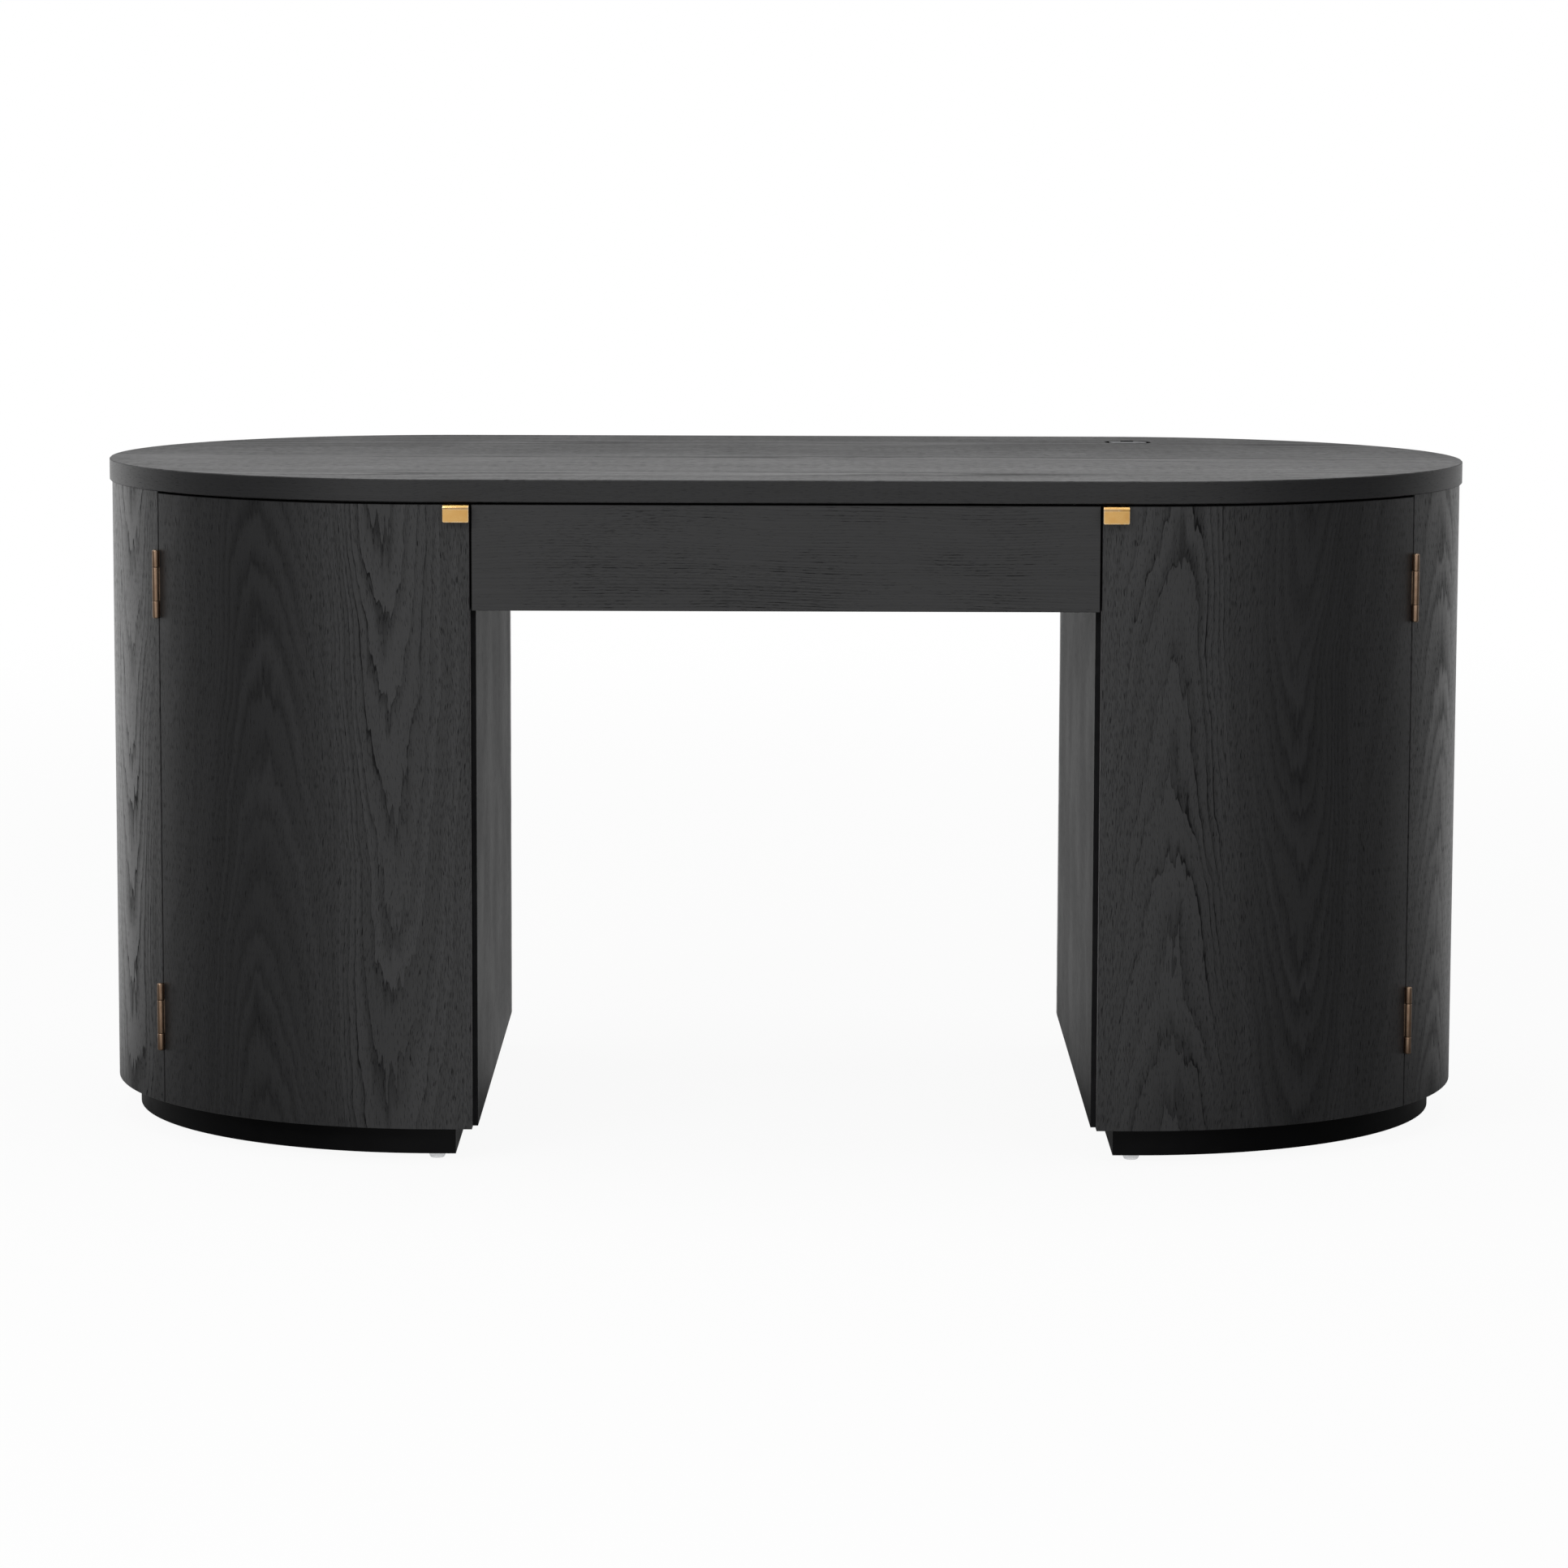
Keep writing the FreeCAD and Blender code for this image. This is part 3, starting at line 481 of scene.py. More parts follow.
def worn_edge_and_hollow_shade_group() -> bpy.types.NodeTree:
    """Find the arrises that hands and cloths have rubbed, and the tight hollows where shade is painted into
    the colour.

    The wear mask is how far the normal turns when edges are rounded, broken up by noise. The painted shade
    mask is how much of the open sky over a point its own piece hides within a millimetre or so.

    Returns:
        The group with two masks of 0 to 1.
    """
    sky_reach, turn_step, patch_step, sky_step = 0.0014, (0.02, 0.25), (0.35, 0.7), (0.45, 0.9)
    sheet = GroupSheet("Worn Edge And Hollow Shade", "place", "patch_size", "reach")
    place, patch_size, reach = sheet.given
    rounded = sheet.read("ShaderNodeBevel", {"Radius": reach}, samples=4)
    true = sheet.read("ShaderNodeNewGeometry", output="Normal")
    facings = {0: rounded, 1: true}
    alike = sheet.read("ShaderNodeVectorMath", facings, "Value", operation="DOT_PRODUCT")
    turned = sheet.step(1.0 - alike, *turn_step)
    patches = sheet.noise(sheet.scaled(place, sheet.math("DIVIDE", 1.0, patch_size)), 3.0)
    # Painted shade: occlusion within a short reach marks the hollows whose colour is darkened.
    near = {"Distance": sky_reach}
    sky = sheet.read("ShaderNodeAmbientOcclusion", near, "AO", samples=8, only_local=True)
    return sheet.close(
        wear=turned * sheet.step(patches, *patch_step), grime=1.0 - sheet.step(sky, *sky_step)
    )


def handling_group() -> bpy.types.NodeTree:
    """Draw the faint smudges and fine scuffs of a finished surface.

    Returns:
        The group with a wide soft smudge and a fine scuff, each of 0 to 1.
    """
    smudge_step, scuff_counts, scuff_shift = (0.38, 0.68), (900.0, 900.0, 900.0), (3.0, 1.0, 2.0)
    sheet = GroupSheet("Handling", "place", "smudge_size")
    place, smudge_size = sheet.given
    wide = sheet.noise(sheet.scaled(place, sheet.math("DIVIDE", 1.0, smudge_size)), 4.0, 0.55)
    fine = sheet.stretched(place, scuff_counts, scuff_shift)
    return sheet.close(smudge=sheet.step(wide, *smudge_step), scuff=sheet.noise(fine, 2.0, 0.6))


def studio_room_group() -> bpy.types.NodeTree:
    """Level of the studio's walls and floor as reflections see them.

    The level depends on the share of Y in a direction from the desk: white behind the desk, pale in front
    and dim at both sides, each joined to the next by a soft step. The whole is dimmer on the right, and
    the ceiling is white.

    Returns:
        The group, which takes a direction and gives a level of 0 to 1.
    """
    front_step, back_step = (-0.95, -0.55), (-0.15, 0.85)
    right_step, ceiling_step = (0.1, 0.6), (0.45, 0.85)
    sheet = GroupSheet("Studio Room", "direction", "front_level", "side_level", "right_dimming")
    direction, front_level, side_level, right_dimming = sheet.given
    right, behind, up = sheet.split(direction)
    front = sheet.between(sheet.step(behind, *front_step), front_level, side_level)
    level = sheet.between(sheet.step(behind, *back_step), front, 1.0)
    dimmed = level * (1.0 - sheet.step(right, *right_step) * right_dimming)
    return sheet.close(level=sheet.between(sheet.step(up, *ceiling_step), dimmed, 1.0))


def unit(vector: np.ndarray) -> np.ndarray:
    """Vector of the same direction and length 1."""
    return vector / np.linalg.norm(vector)


def corners(node: str) -> tuple[np.ndarray, np.ndarray]:
    """Lowest and highest corner of a frame node."""
    low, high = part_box(node)
    return np.array(low), np.array(high)


class Skin:
    """Closed surfaces of one piece, gathered from grids of points."""

    def __init__(self) -> None:
        """Start with no points."""
        self.points: list[np.ndarray] = []
        self.faces: list[list[int]] = []
        self.count = 0

    def add(self, rings: np.ndarray, looped: bool = False) -> None:
        """Add one closed surface with its faces outwards.

        Row i and column j of the grid hold one point. The columns close on themselves. The rows do so too
        when they are looped, and otherwise a fan about the middle of the first and of the last row closes
        the ends. Six times the volume is the sum of a . (b x c) over the triangles, and where that is below
        zero the faces are turned round.

        Args:
            rings: points by row, column and axis.
            looped: whether the last row joins the first.
        """
        rows, columns = rings.shape[:2]
        steps = np.arange(rows if looped else rows - 1)
        row, column = np.meshgrid(steps, np.arange(columns), indexing="ij")
        after, beside = (row + 1) % rows, (column + 1) % columns
        square = ((row, column), (row, beside), (after, beside), (after, column))
        quads = np.stack([at * columns + over for at, over in square], axis=-1).reshape(-1, 4)
        points = rings.reshape(-1, 3)
        fans = np.empty((0, 3), int)
        if not looped:
            here = np.arange(columns)
            ahead = (here + 1) % columns
            first, last = rows * columns, (rows - 1) * columns
            start_fan = np.column_stack([np.full(columns, first), ahead, here])
            end_fan = np.column_stack([np.full(columns, first + 1), last + here, last + ahead])
            fans = np.vstack([start_fan, end_fan])
            points = np.vstack([points, rings[0].mean(axis=0), rings[-1].mean(axis=0)])
        triangles = np.vstack([quads[:, :3], quads[:, [0, 2, 3]], fans])
        a, b, c = (points[triangles[:, k]] for k in range(3))
        if np.sum(a * np.cross(b, c)) < 0:
            quads, fans = quads[:, ::-1], fans[:, ::-1]
        self.faces += (quads + self.count).tolist() + (fans + self.count).tolist()
        self.points.append(points)
        self.count += len(points)

    def make(self, name: str, crease: float = 0.6) -> bpy.types.Object:
        """Make the piece's object.

        Args:
            name: the piece's name.
            crease: edges that turn by more than this, in radians, stay sharp.

        Returns:
            The object, at the origin.
        """
        mesh = bpy.data.meshes.new(name)
        mesh.from_pydata(np.vstack(self.points).tolist(), [], self.faces)
        mesh.polygons.foreach_set("use_smooth", np.ones(len(mesh.polygons), bool))
        mesh.set_sharp_from_angle(angle=crease)
        thing = bpy.data.objects.new(name, mesh)
        bpy.context.scene.collection.objects.link(thing)
        return thing


def rounded_outline(
    width: float, height: float, corner: float, steps: int = 5
) -> tuple[np.ndarray, np.ndarray]:
    """Outline of a rectangle with round corners about the origin, counter-clockwise.

    A point is its corner's centre plus the corner's radius times (cos a, sin a), where the angle a runs
    through a quarter turn at each of the four corners.

    Args:
        width: size along the first axis.
        height: size along the second axis.
        corner: radius of the corners.
        steps: points at each corner.

    Returns:
        The points, and the direction that the outline faces at each.
    """
    angle = (np.arange(4)[:, None] * QUARTER + np.linspace(0, QUARTER, steps)[None, :]).ravel()
    centre_x = np.repeat([1.0, -1.0, -1.0, 1.0], steps) * (width / 2 - corner)
    centre_y = np.repeat([1.0, 1.0, -1.0, -1.0], steps) * (height / 2 - corner)
    facing = np.column_stack([np.cos(angle), np.sin(angle)])
    return np.column_stack([centre_x, centre_y]) + corner * facing, facing


def rim_inset(way: np.ndarray, radius: float) -> np.ndarray:
    """How far a round rim draws in at a way from its end: r - sqrt(r^2 - (r - way)^2), and 0 past r."""
    short = np.clip(radius - way, 0.0, radius)
    return radius - np.sqrt(radius ** 2 - short ** 2)


@dataclass(frozen=True)
class Seat:
    """Place and three square directions that a small part is made in."""

    place: np.ndarray
    out: np.ndarray
    beside: np.ndarray
    along: np.ndarray

    def points(self, out: np.ndarray, beside: np.ndarray, along: np.ndarray) -> np.ndarray:
        """Points at ways from the place, each way times its own direction.

        Args:
            out: ways out.
            beside: ways beside.
            along: ways along.

        Returns:
            The points, in the shape that the three ways share.
        """
        ways = np.broadcast_arrays(out, beside, along)
        parts = zip(ways, (self.out, self.beside, self.along))
        return self.place + sum(way[..., None] * direction for way, direction in parts)

    def moved(self, out: float = 0.0, beside: float = 0.0, along: float = 0.0) -> Seat:
        """The same directions at another place."""
        place = self.points(np.array(out), np.array(beside), np.array(along))
        return Seat(place, self.out, self.beside, self.along)

    def turned(self, radius: np.ndarray, along: np.ndarray, angle: np.ndarray) -> np.ndarray:
        """Carry a profile round the seat's line.

        The point at angle a lies radius * cos(a) out, radius * sin(a) beside, and along as in the profile.

        Args:
            radius: the profile's radii, or radii by profile point and angle.
            along: the profile's places along the line.
            angle: the angles.

        Returns:
            Points by profile point and angle.
        """
        wide = radius.reshape(len(radius), -1)
        return self.points(wide * np.cos(angle), wide * np.sin(angle), along[:, None])

    def plate(
        self, width: float, height: float, corner: float, low: float, high: float, rim: float
    ) -> np.ndarray:
        """Flat plate in the out and along directions, with round corners and rims.

        The outline is drawn in by rim * (1 - sin b) at rim * (1 - cos b) from each face, for b from 0 to a
        quarter turn.

        Args:
            width: size out.
            height: size along.
            corner: radius of the corners.
            low: lower face's way beside.
            high: upper face's way beside.
            rim: radius of the rims.

        Returns:
            Points by layer and outline point.
        """
        outline, facing = rounded_outline(width, height, corner)
        bend = np.linspace(0, QUARTER, 4)
        inset = rim * (1 - np.sin(bend))
        lift = rim * (1 - np.cos(bend))
        insets = np.concatenate([inset, inset[::-1]])
        lifts = np.concatenate([low + lift, high - lift[::-1]])
        flat = outline[None] - insets[:, None, None] * facing[None]
        return self.points(flat[..., 0], lifts[:, None], flat[..., 1])


@dataclass(frozen=True)
class CrossHeadScrew:
    """Countersunk screw with a cross recess."""

    head_radius: float = 0.0034
    head_height: float = 0.0014
    shank_radius: float = 0.0016
    arm_length: float = 0.0021
    arm_half: float = 0.0005
    recess: float = 0.0007
    proud: float = 0.00006
    floor_shares: tuple[float, float] = (0.3, 0.8)
    crown_shares: tuple[float, float] = (0.8, 0.97)
    point_share: float = 0.2
    least_sine: float = 1e-6

    def add(self, skin: Skin, seat: Seat, length: float) -> None:
        """Add the screw to a skin, with its head's face at the seat's place and facing along.

        The recess is a cross: at an angle a from the nearest arm its wall is min(arm / cos a, half / sin a)
        from the middle. The grid runs from the recess's floor up its wall, over the crowned face, down
        the cone of the head and the shank to its point.

        Args:
            skin: the skin that takes the screw.
            seat: the head's place and directions.
            length: the screw's length.
        """
        off_arm = np.abs((FULL_TURN + QUARTER / 2) % QUARTER - QUARTER / 2)
        beside_arm = self.arm_half / np.maximum(np.sin(off_arm), self.least_sine)
        wall = np.minimum(self.arm_length / np.cos(off_arm), beside_arm)
        even = np.ones_like(FULL_TURN)
        head, shank = even * self.head_radius, even * self.shank_radius
        recess = [wall * share for share in (*self.floor_shares, 1.0)]
        face = [head * share for share in (*self.crown_shares, 1.0)]
        radii = (*recess, *face, shank, shank, shank * self.point_share)
        heights = np.array([
            -self.recess, -self.recess, self.proud, self.proud * self.crown_shares[0], 0.0, -self.proud,
            -self.head_height, 2 * self.shank_radius - length, -length,
        ])
        skin.add(seat.turned(np.stack(radii), heights, FULL_TURN))


@dataclass
class Workshop:
    """The node groups that the finishes share, each built once."""

    wall: bpy.types.NodeTree = field(default_factory=unrolled_wall_group)
    oak: bpy.types.NodeTree = field(default_factory=oak_figure_group)
    # Worn edges, and the painted shade mask for tight hollows.
    edge: bpy.types.NodeTree = field(default_factory=worn_edge_and_hollow_shade_group)
    handling: bpy.types.NodeTree = field(default_factory=handling_group)
    room: bpy.types.NodeTree = field(default_factory=studio_room_group)


@dataclass(frozen=True)
class OvalPlan:
    """Outline of an oval wall: half circles about two centres on X, joined by straight lines."""

    end_centre: float
    end_radius: float


class GrainLay(Enum):
    """Way that a board's grain runs."""

    UPRIGHT_ROUND_WALL = "upright on the oval wall"
    ALONG_TOP = "along X on a level board with an edge band round the oval"
    ALONG_FRONT = "along X on an upright board"
    UPRIGHT_SIDE = "upright on a board that faces sideways"


@dataclass(frozen=True)
class VeneerFinish:
    """Black-stained open-pore oak veneer. The first sizes and shares go to the oak figure's group."""

    name: str
    lay: GrainLay
    plan: OvalPlan
    seed: float
    leaf_width: float = 0.158
    leaf_shift: float = 0.0
    ring_width: float = 0.0055
    heart_depth: float = 0.16
    slope: float = 0.052
    lean: float = 0.5
    waver: float = 1.0
    pore_length: float = 0.014
    dash_gap: float = 0.36
    dash_length: float = 0.067
    patchiness: float = 0.0
    end_fade: float = 9.0
    soft_turn: float = 1.0
    shoulder: float = 0.034
    plain_leaf: float = 99.0
    light: Colour = (31, 31, 32)
    dark: Colour = (4, 4, 5)
    bare: Colour = (74, 73, 71)
    wear: float = 0.35
    wear_reach: float = 0.0012
    wear_patch: float = 0.05
    smudge_size: float = 0.16
    ring_strength: float = 1.15
    pore_strength: float = 0.8
    year_strength: float = 0.5
    tone_floor: float = 0.56
    fibre_tone: float = 0.36
    cloud_tone: float = 0.24
    leaf_tone: float = 0.1
    heart_tone: float = 0.14
    edge_figure: float = 0.1
    edge_pores: float = 0.3
    edge_years: float = 0.12
    edge_film: float = 0.75
    roughness: float = 0.5
    dark_roughness: float = 0.3
    smudge_gloss: float = 0.05
    scuff_roughness: float = 0.06
    relief: float = 0.00016
    pore_pit: float = 0.8
    ring_pit: float = 0.3
    fibre_rise: float = 0.35
    specular: float = 0.2
    film: float = 0.9
    film_body: float = 0.8
    film_pore_loss: float = 1.05
    film_on_fibre: float = 0.2
    film_on_years: float = 0.4
    face_film: float = 0.24
    # Painted shade: share of a level top's film, and so of its sheen, taken off towards the back, and the
    # span that it is taken off over.
    back_sheen_dimming: float = 0.85
    loss_span: tuple[float, float] = (-0.6, 0.7)
    film_roughness: float = 0.36
    film_index: float = 1.42

    def lay_vector(self, sheet: NodeSheet, shop: Workshop) -> Reading:
        """Work out across, along and depth of the grain.

        Args:
            sheet: the material's sheet.
            shop: the shared node groups.

        Returns:
            The vector's reading.
        """
        if self.lay is GrainLay.UPRIGHT_ROUND_WALL:
            return self.wall_vector(sheet, shop)
        x, y, z = sheet.split(sheet.place())
        if self.lay is GrainLay.ALONG_FRONT:
            return sheet.combine(z, x, y)
        if self.lay is GrainLay.UPRIGHT_SIDE:
            return sheet.combine(y, z, x)
        way, height, depth = sheet.split(self.wall_vector(sheet, shop))
        band = sheet.combine(height, way, depth)
        return sheet.chosen(self.on_level_face(sheet), band, sheet.combine(y, x, z))

    def wall_vector(self, sheet: NodeSheet, shop: Workshop) -> Reading:
        """Way along the oval wall, height and depth."""
        centre, radius = self.plan.end_centre, self.plan.end_radius
        return sheet.use(shop.wall, place=sheet.place(), end_centre=centre, end_radius=radius)["Lay"]

    def on_level_face(self, sheet: NodeSheet) -> Reading:
        """Mask of 1 where the upward or downward share of the facing passes LEVEL_SHARE, else 0."""
        facing = sheet.read("ShaderNodeTexCoord", output="Normal")
        return sheet.math("GREATER_THAN", abs(sheet.split(facing)[2]), LEVEL_SHARE)

    def by_face(self, sheet: NodeSheet, on_edge: Feed, elsewhere: Feed) -> Feed:
        """Value that differs on a top's edge band, and is the same all over another board.

        Args:
            sheet: the material's sheet.
            on_edge: the value on the edge band.
            elsewhere: the value everywhere else.

        Returns:
            The value at each point.
        """
        if self.lay is GrainLay.ALONG_TOP:
            return sheet.between(self.on_level_face(sheet), on_edge, elsewhere)
        return elsewhere

    def film_share(self, sheet: NodeSheet) -> Feed:
        """Weight of the lacquer film, which on a level top drops towards the back, a painted dimming of the
        top's sheen there.

        Args:
            sheet: the material's sheet.

        Returns:
            The weight at each point.
        """
        if self.lay is not GrainLay.ALONG_TOP:
            return self.film
        # Painted shade: the top's sheen is dimmed towards the back.
        y = sheet.split(sheet.place())[1]
        start, end = (share * self.plan.end_radius for share in self.loss_span)
        loss = sheet.step(y, start, end) * (self.back_sheen_dimming * self.face_film)
        return self.by_face(sheet, self.edge_film, self.face_film - loss)

    def build(self, shop: Workshop) -> bpy.types.Material:
        """Make the material.

        The stain runs from light to dark where rings and pores are, and fibre, cloud, leaf, heart and year
        each lift its tone. The film is thin over dark pores and thicker on dense wood.

        Args:
            shop: the shared node groups.

        Returns:
            The veneer's material.
        """
        material = bpy.data.materials.new(self.name)
        sheet = empty_sheet(material)
        numbers = {name: getattr(self, name) for name in OAK_NUMBERS}
        oak = sheet.use(shop.oak, lay=self.lay_vector(sheet, shop), **numbers)
        marks = sheet.use(shop.handling, place=sheet.place(), smudge_size=self.smudge_size)
        edge = sheet.use(shop.edge, place=sheet.place(), patch_size=self.wear_patch, reach=self.wear_reach)
        rings, pores, fibre = oak["Rings"], oak["Pores"], oak["Fibre"]
        years = oak["Year Tone"] * self.by_face(sheet, self.edge_years, self.year_strength)
        ring_share = self.by_face(sheet, self.edge_figure, self.ring_strength)
        pore_share = self.by_face(sheet, self.edge_pores, self.pore_strength)
        darkness = sheet.math("ADD", rings * ring_share, pores * pore_share, clamp=True)
        stain = sheet.tinted(darkness, linear(self.light), linear(self.dark))
        tone = years + fibre * self.fibre_tone + oak["Cloud"] * self.cloud_tone + self.tone_floor
        tone = tone + oak["Leaf Tone"] * self.leaf_tone + oak["Heart"] * self.heart_tone
        film = self.film_body - darkness * self.film_pore_loss
        film = film + fibre * self.film_on_fibre + years * self.film_on_years
        gloss = darkness * self.dark_roughness + self.roughness
        gloss = gloss - marks["Smudge"] * self.smudge_gloss + marks["Scuff"] * self.scuff_roughness
        height = fibre * self.fibre_rise - pores * self.pore_pit - rings * self.ring_pit
        stain = sheet.scaled(stain, tone)
        sheet.shade({
            "Base Color": sheet.tinted(edge["Wear"] * self.wear, stain, linear(self.bare)),
            "Roughness": gloss,
            "Specular IOR Level": self.specular,
            "Coat Weight": sheet.larger(film, 0.0) * self.film_share(sheet),
            "Coat Roughness": self.film_roughness,
            "Coat IOR": self.film_index,
            "Normal": sheet.relief(height, self.relief),
        })
        return material


@dataclass(frozen=True)
class PlainFinish:
    """Lacquered board, moulded plastic or metal, with smudges, fine grain, rubbed edges and painted shade
    in tight hollows; on the brass the rubbed edges also carry a painted highlight.

    Smudges and grain lift the roughness by about marks_lift on the whole, which is taken off beforehand.
    """

    name: str
    slot: str
    colour: Colour
    second: Colour
    roughness: float
    metallic: float = 0.0
    specular: float = 0.5
    edge: Colour = (90, 90, 90)
    wear: float = 0.3
    wear_reach: float = 0.0012
    wear_patch: float = 0.01
    # Painted shade: colour that tight hollows are darkened towards, and how strongly.
    grime: Colour = (20, 20, 20)
    painted_shade_strength: float = 0.0
    smudge_size: float = 0.05
    smudge_share: float = 0.6
    smudge_roughness: float = 0.08
    grain_roughness: float = 0.1
    marks_lift: float = 0.06
    streak: tuple[float, float, float] = (400.0, 400.0, 400.0)
    relief: float = 0.00004
    transmission: float = 0.0
    index: float = 1.5

    def build(self, shop: Workshop) -> bpy.types.Material:
        """Make the material.

        Args:
            shop: the shared node groups.

        Returns:
            The finish's material.
        """
        material = bpy.data.materials.new(self.name)
        sheet = empty_sheet(material)
        smudge = sheet.use(shop.handling, place=sheet.place(), smudge_size=self.smudge_size)["Smudge"]
        edge = sheet.use(shop.edge, place=sheet.place(), patch_size=self.wear_patch, reach=self.wear_reach)
        grain = sheet.noise(sheet.stretched(sheet.place(), self.streak, (0.0, 0.0, 0.0)), 3.0, 0.6)
        mixed = smudge * self.smudge_share + grain * (1 - self.smudge_share)
        colour = sheet.tinted(mixed, linear(self.colour), linear(self.second))
        # Pale colour on rubbed arrises: rubbed wear, and on the brass, set strong, a painted highlight
        # along the rims.
        colour = sheet.tinted(edge["Wear"] * self.wear, colour, linear(self.edge))
        # Painted shade: the colour darkens in tight hollows where the piece hides the sky.
        if self.painted_shade_strength > 0:
            colour = sheet.tinted(edge["Grime"] * self.painted_shade_strength, colour, linear(self.grime))
        marks = smudge * self.smudge_roughness + grain * self.grain_roughness
        sheet.shade({
            "Base Color": colour,
            "Roughness": marks + (self.roughness - self.marks_lift),
            "Metallic": self.metallic,
            "Specular IOR Level": self.specular,
            "Transmission Weight": self.transmission,
            "IOR": self.index,
            "Normal": sheet.relief(grain, self.relief),
        })
        return material


@dataclass
class Palette:
    """Finishes of the desk that more than one sub-assembly wears."""

    black_board: PlainFinish = PlainFinish(
        "black_board", "black_board", (30, 30, 31), (40, 40, 41), 0.5, specular=0.35,
        edge=(60, 58, 55), smudge_size=0.08,
    )
    # Plinth: black lacquer, made darker and less glossy than the other boards to paint in the shade of its
    # recess under the cabinet.
    plinth_black_and_shade: PlainFinish = PlainFinish(
        "plinth_black_and_shade", "black_oak", (4, 4, 5), (8, 8, 9), 0.4, specular=0.12,
        edge=(32, 32, 32), streak=(60.0, 60.0, 60.0),
    )
    drawer_board: PlainFinish = PlainFinish(
        "drawer_board", "drawer_board", (38, 38, 39), (46, 46, 47), 0.55, specular=0.35,
        edge=(66, 64, 60), smudge_size=0.1,
    )
    beech: PlainFinish = PlainFinish(
        "beech", "beech", (196, 160, 118), (176, 138, 98), 0.6,
        edge=(208, 178, 138), streak=(40.0, 600.0, 600.0),
    )
    # Satin brass: its strong pale wear colour paints a highlight along the rims on top of rubbed wear, and
    # its painted shade darkens the groove and screw recesses.
    brass: PlainFinish = PlainFinish(
        "satin_brass", "brass", (228, 184, 116), (216, 166, 96), 0.28, metallic=1.0, relief=0.00001,
        edge=(255, 242, 214), wear=2.4, wear_reach=0.0026, grime=(96, 60, 26), painted_shade_strength=0.9,
        streak=(60.0, 900.0, 2600.0), smudge_size=0.012,
    )
    # Antique bronze: its painted shade darkens the knuckle gaps and screw recesses.
    bronze: PlainFinish = PlainFinish(
        "antique_bronze", "bronze", (164, 138, 116), (138, 112, 92), 0.36, metallic=1.0, relief=0.00002,
        edge=(222, 200, 172), wear=1.4, grime=(40, 30, 24), painted_shade_strength=0.8,
        streak=(900.0, 900.0, 120.0), smudge_size=0.01,
    )
    zinc: PlainFinish = PlainFinish(
        "zinc_plated_steel", "zinc_steel", (176, 178, 182), (140, 143, 150), 0.34, metallic=1.0,
        edge=(214, 216, 220), streak=(900.0, 30.0, 900.0), smudge_size=0.02,
    )
    black_plastic: PlainFinish = PlainFinish(
        "black_plastic", "black_plastic", (5, 5, 6), (9, 9, 10), 0.6, specular=0.0,
        edge=(30, 30, 32), streak=(1800.0, 1800.0, 1800.0), smudge_size=0.02,
    )
    grey_plastic: PlainFinish = PlainFinish(
        "grey_plastic", "grey_plastic", (82, 83, 85), (60, 61, 63), 0.5, specular=0.3,
        edge=(126, 127, 129), streak=(1800.0, 1800.0, 1800.0), smudge_size=0.02,
    )
    nylon: PlainFinish = PlainFinish(
        "pale_nylon", "nylon", (222, 223, 224), (204, 205, 207), 0.25, transmission=0.85, index=1.003,
        edge=(240, 240, 240), streak=(700.0, 700.0, 700.0), smudge_size=0.01,
    )


Finish = Union[VeneerFinish, PlainFinish]


class Dresser:
    """Puts finishes on frame nodes and new pieces, and builds each finish once."""

    def __init__(self, frame: dict, shop: Workshop) -> None:
        """Start with no finish built.

        Args:
            frame: the loaded frame.
            shop: the shared node groups.
        """
        self.frame = frame
        self.shop = shop
        self.made: dict[str, bpy.types.Material] = {}

    def material(self, finish: Finish) -> bpy.types.Material:
        """Material of a finish, built when it is first asked for.

        Args:
            finish: the finish.

        Returns:
            Its material.
        """
        if finish.name not in self.made:
            self.made[finish.name] = finish.build(self.shop)
        return self.made[finish.name]

    def dress(self, finish: Finish, *nodes: str) -> None:
        """Give frame nodes a finish.

        Args:
            finish: the finish to put on.
            nodes: names of the frame's nodes.
        """
        material = self.material(finish)
        for node in nodes:
            for slot in self.frame["nodes"][node].material_slots:
                slot.material = material
            LOG.info("%s wears %s", node, finish.name)

    def fit(self, skin: Skin, name: str, finish: PlainFinish, body: str, stands_for: str) -> None:
        """Make a piece of a skin, finish it and fix it to a body of the frame.

        Args:
            skin: the piece's surfaces.
            name: the piece's name.
            finish: its finish.
            body: the body that it rides on.
            stands_for: the frame node that it is shown in place of.
        """
        piece = skin.make(name)
        piece.data.materials.append(self.material(finish))
        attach(piece, body)
        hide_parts(stands_for)
        LOG.info("%s is made with %d faces", name, len(piece.data.polygons))


class Side(Enum):
    """Side of the desk as its sitter sees it."""

    LEFT = "left"
    RIGHT = "right"


@dataclass
class Assembly:
    """Part of the desk that dresses frame nodes and makes pieces in their places."""

    dresser: Dresser
    palette: Palette
    plan: OvalPlan


@dataclass
class SidedAssembly(Assembly):
    """Part that the desk has on its left and on its right."""

    side: Side

    @property
    def sign(self) -> float:
        """Sign of X on this side."""
        return 1.0 if self.side is Side.RIGHT else -1.0

    def named(self, *parts: str) -> list[str]:
        """Names of parts on this side."""
        return [f"{self.side.value}_{part}" for part in parts]

    def fit(self, skin: Skin, name: str, finish: PlainFinish, holder: str, stands_for: str) -> None:
        """Fit a piece of this side to the frame or to the door.

        Args:
            skin: the piece's surfaces.
            name: the piece's name without its side.
            finish: its finish.
            holder: frame, or door for this side's door.
            stands_for: the node that it is shown in place of, without its side.
        """
        piece, node, door = self.named(name, stands_for, "door")
        self.dresser.fit(skin, piece, finish, door if holder == "door" else holder, node)


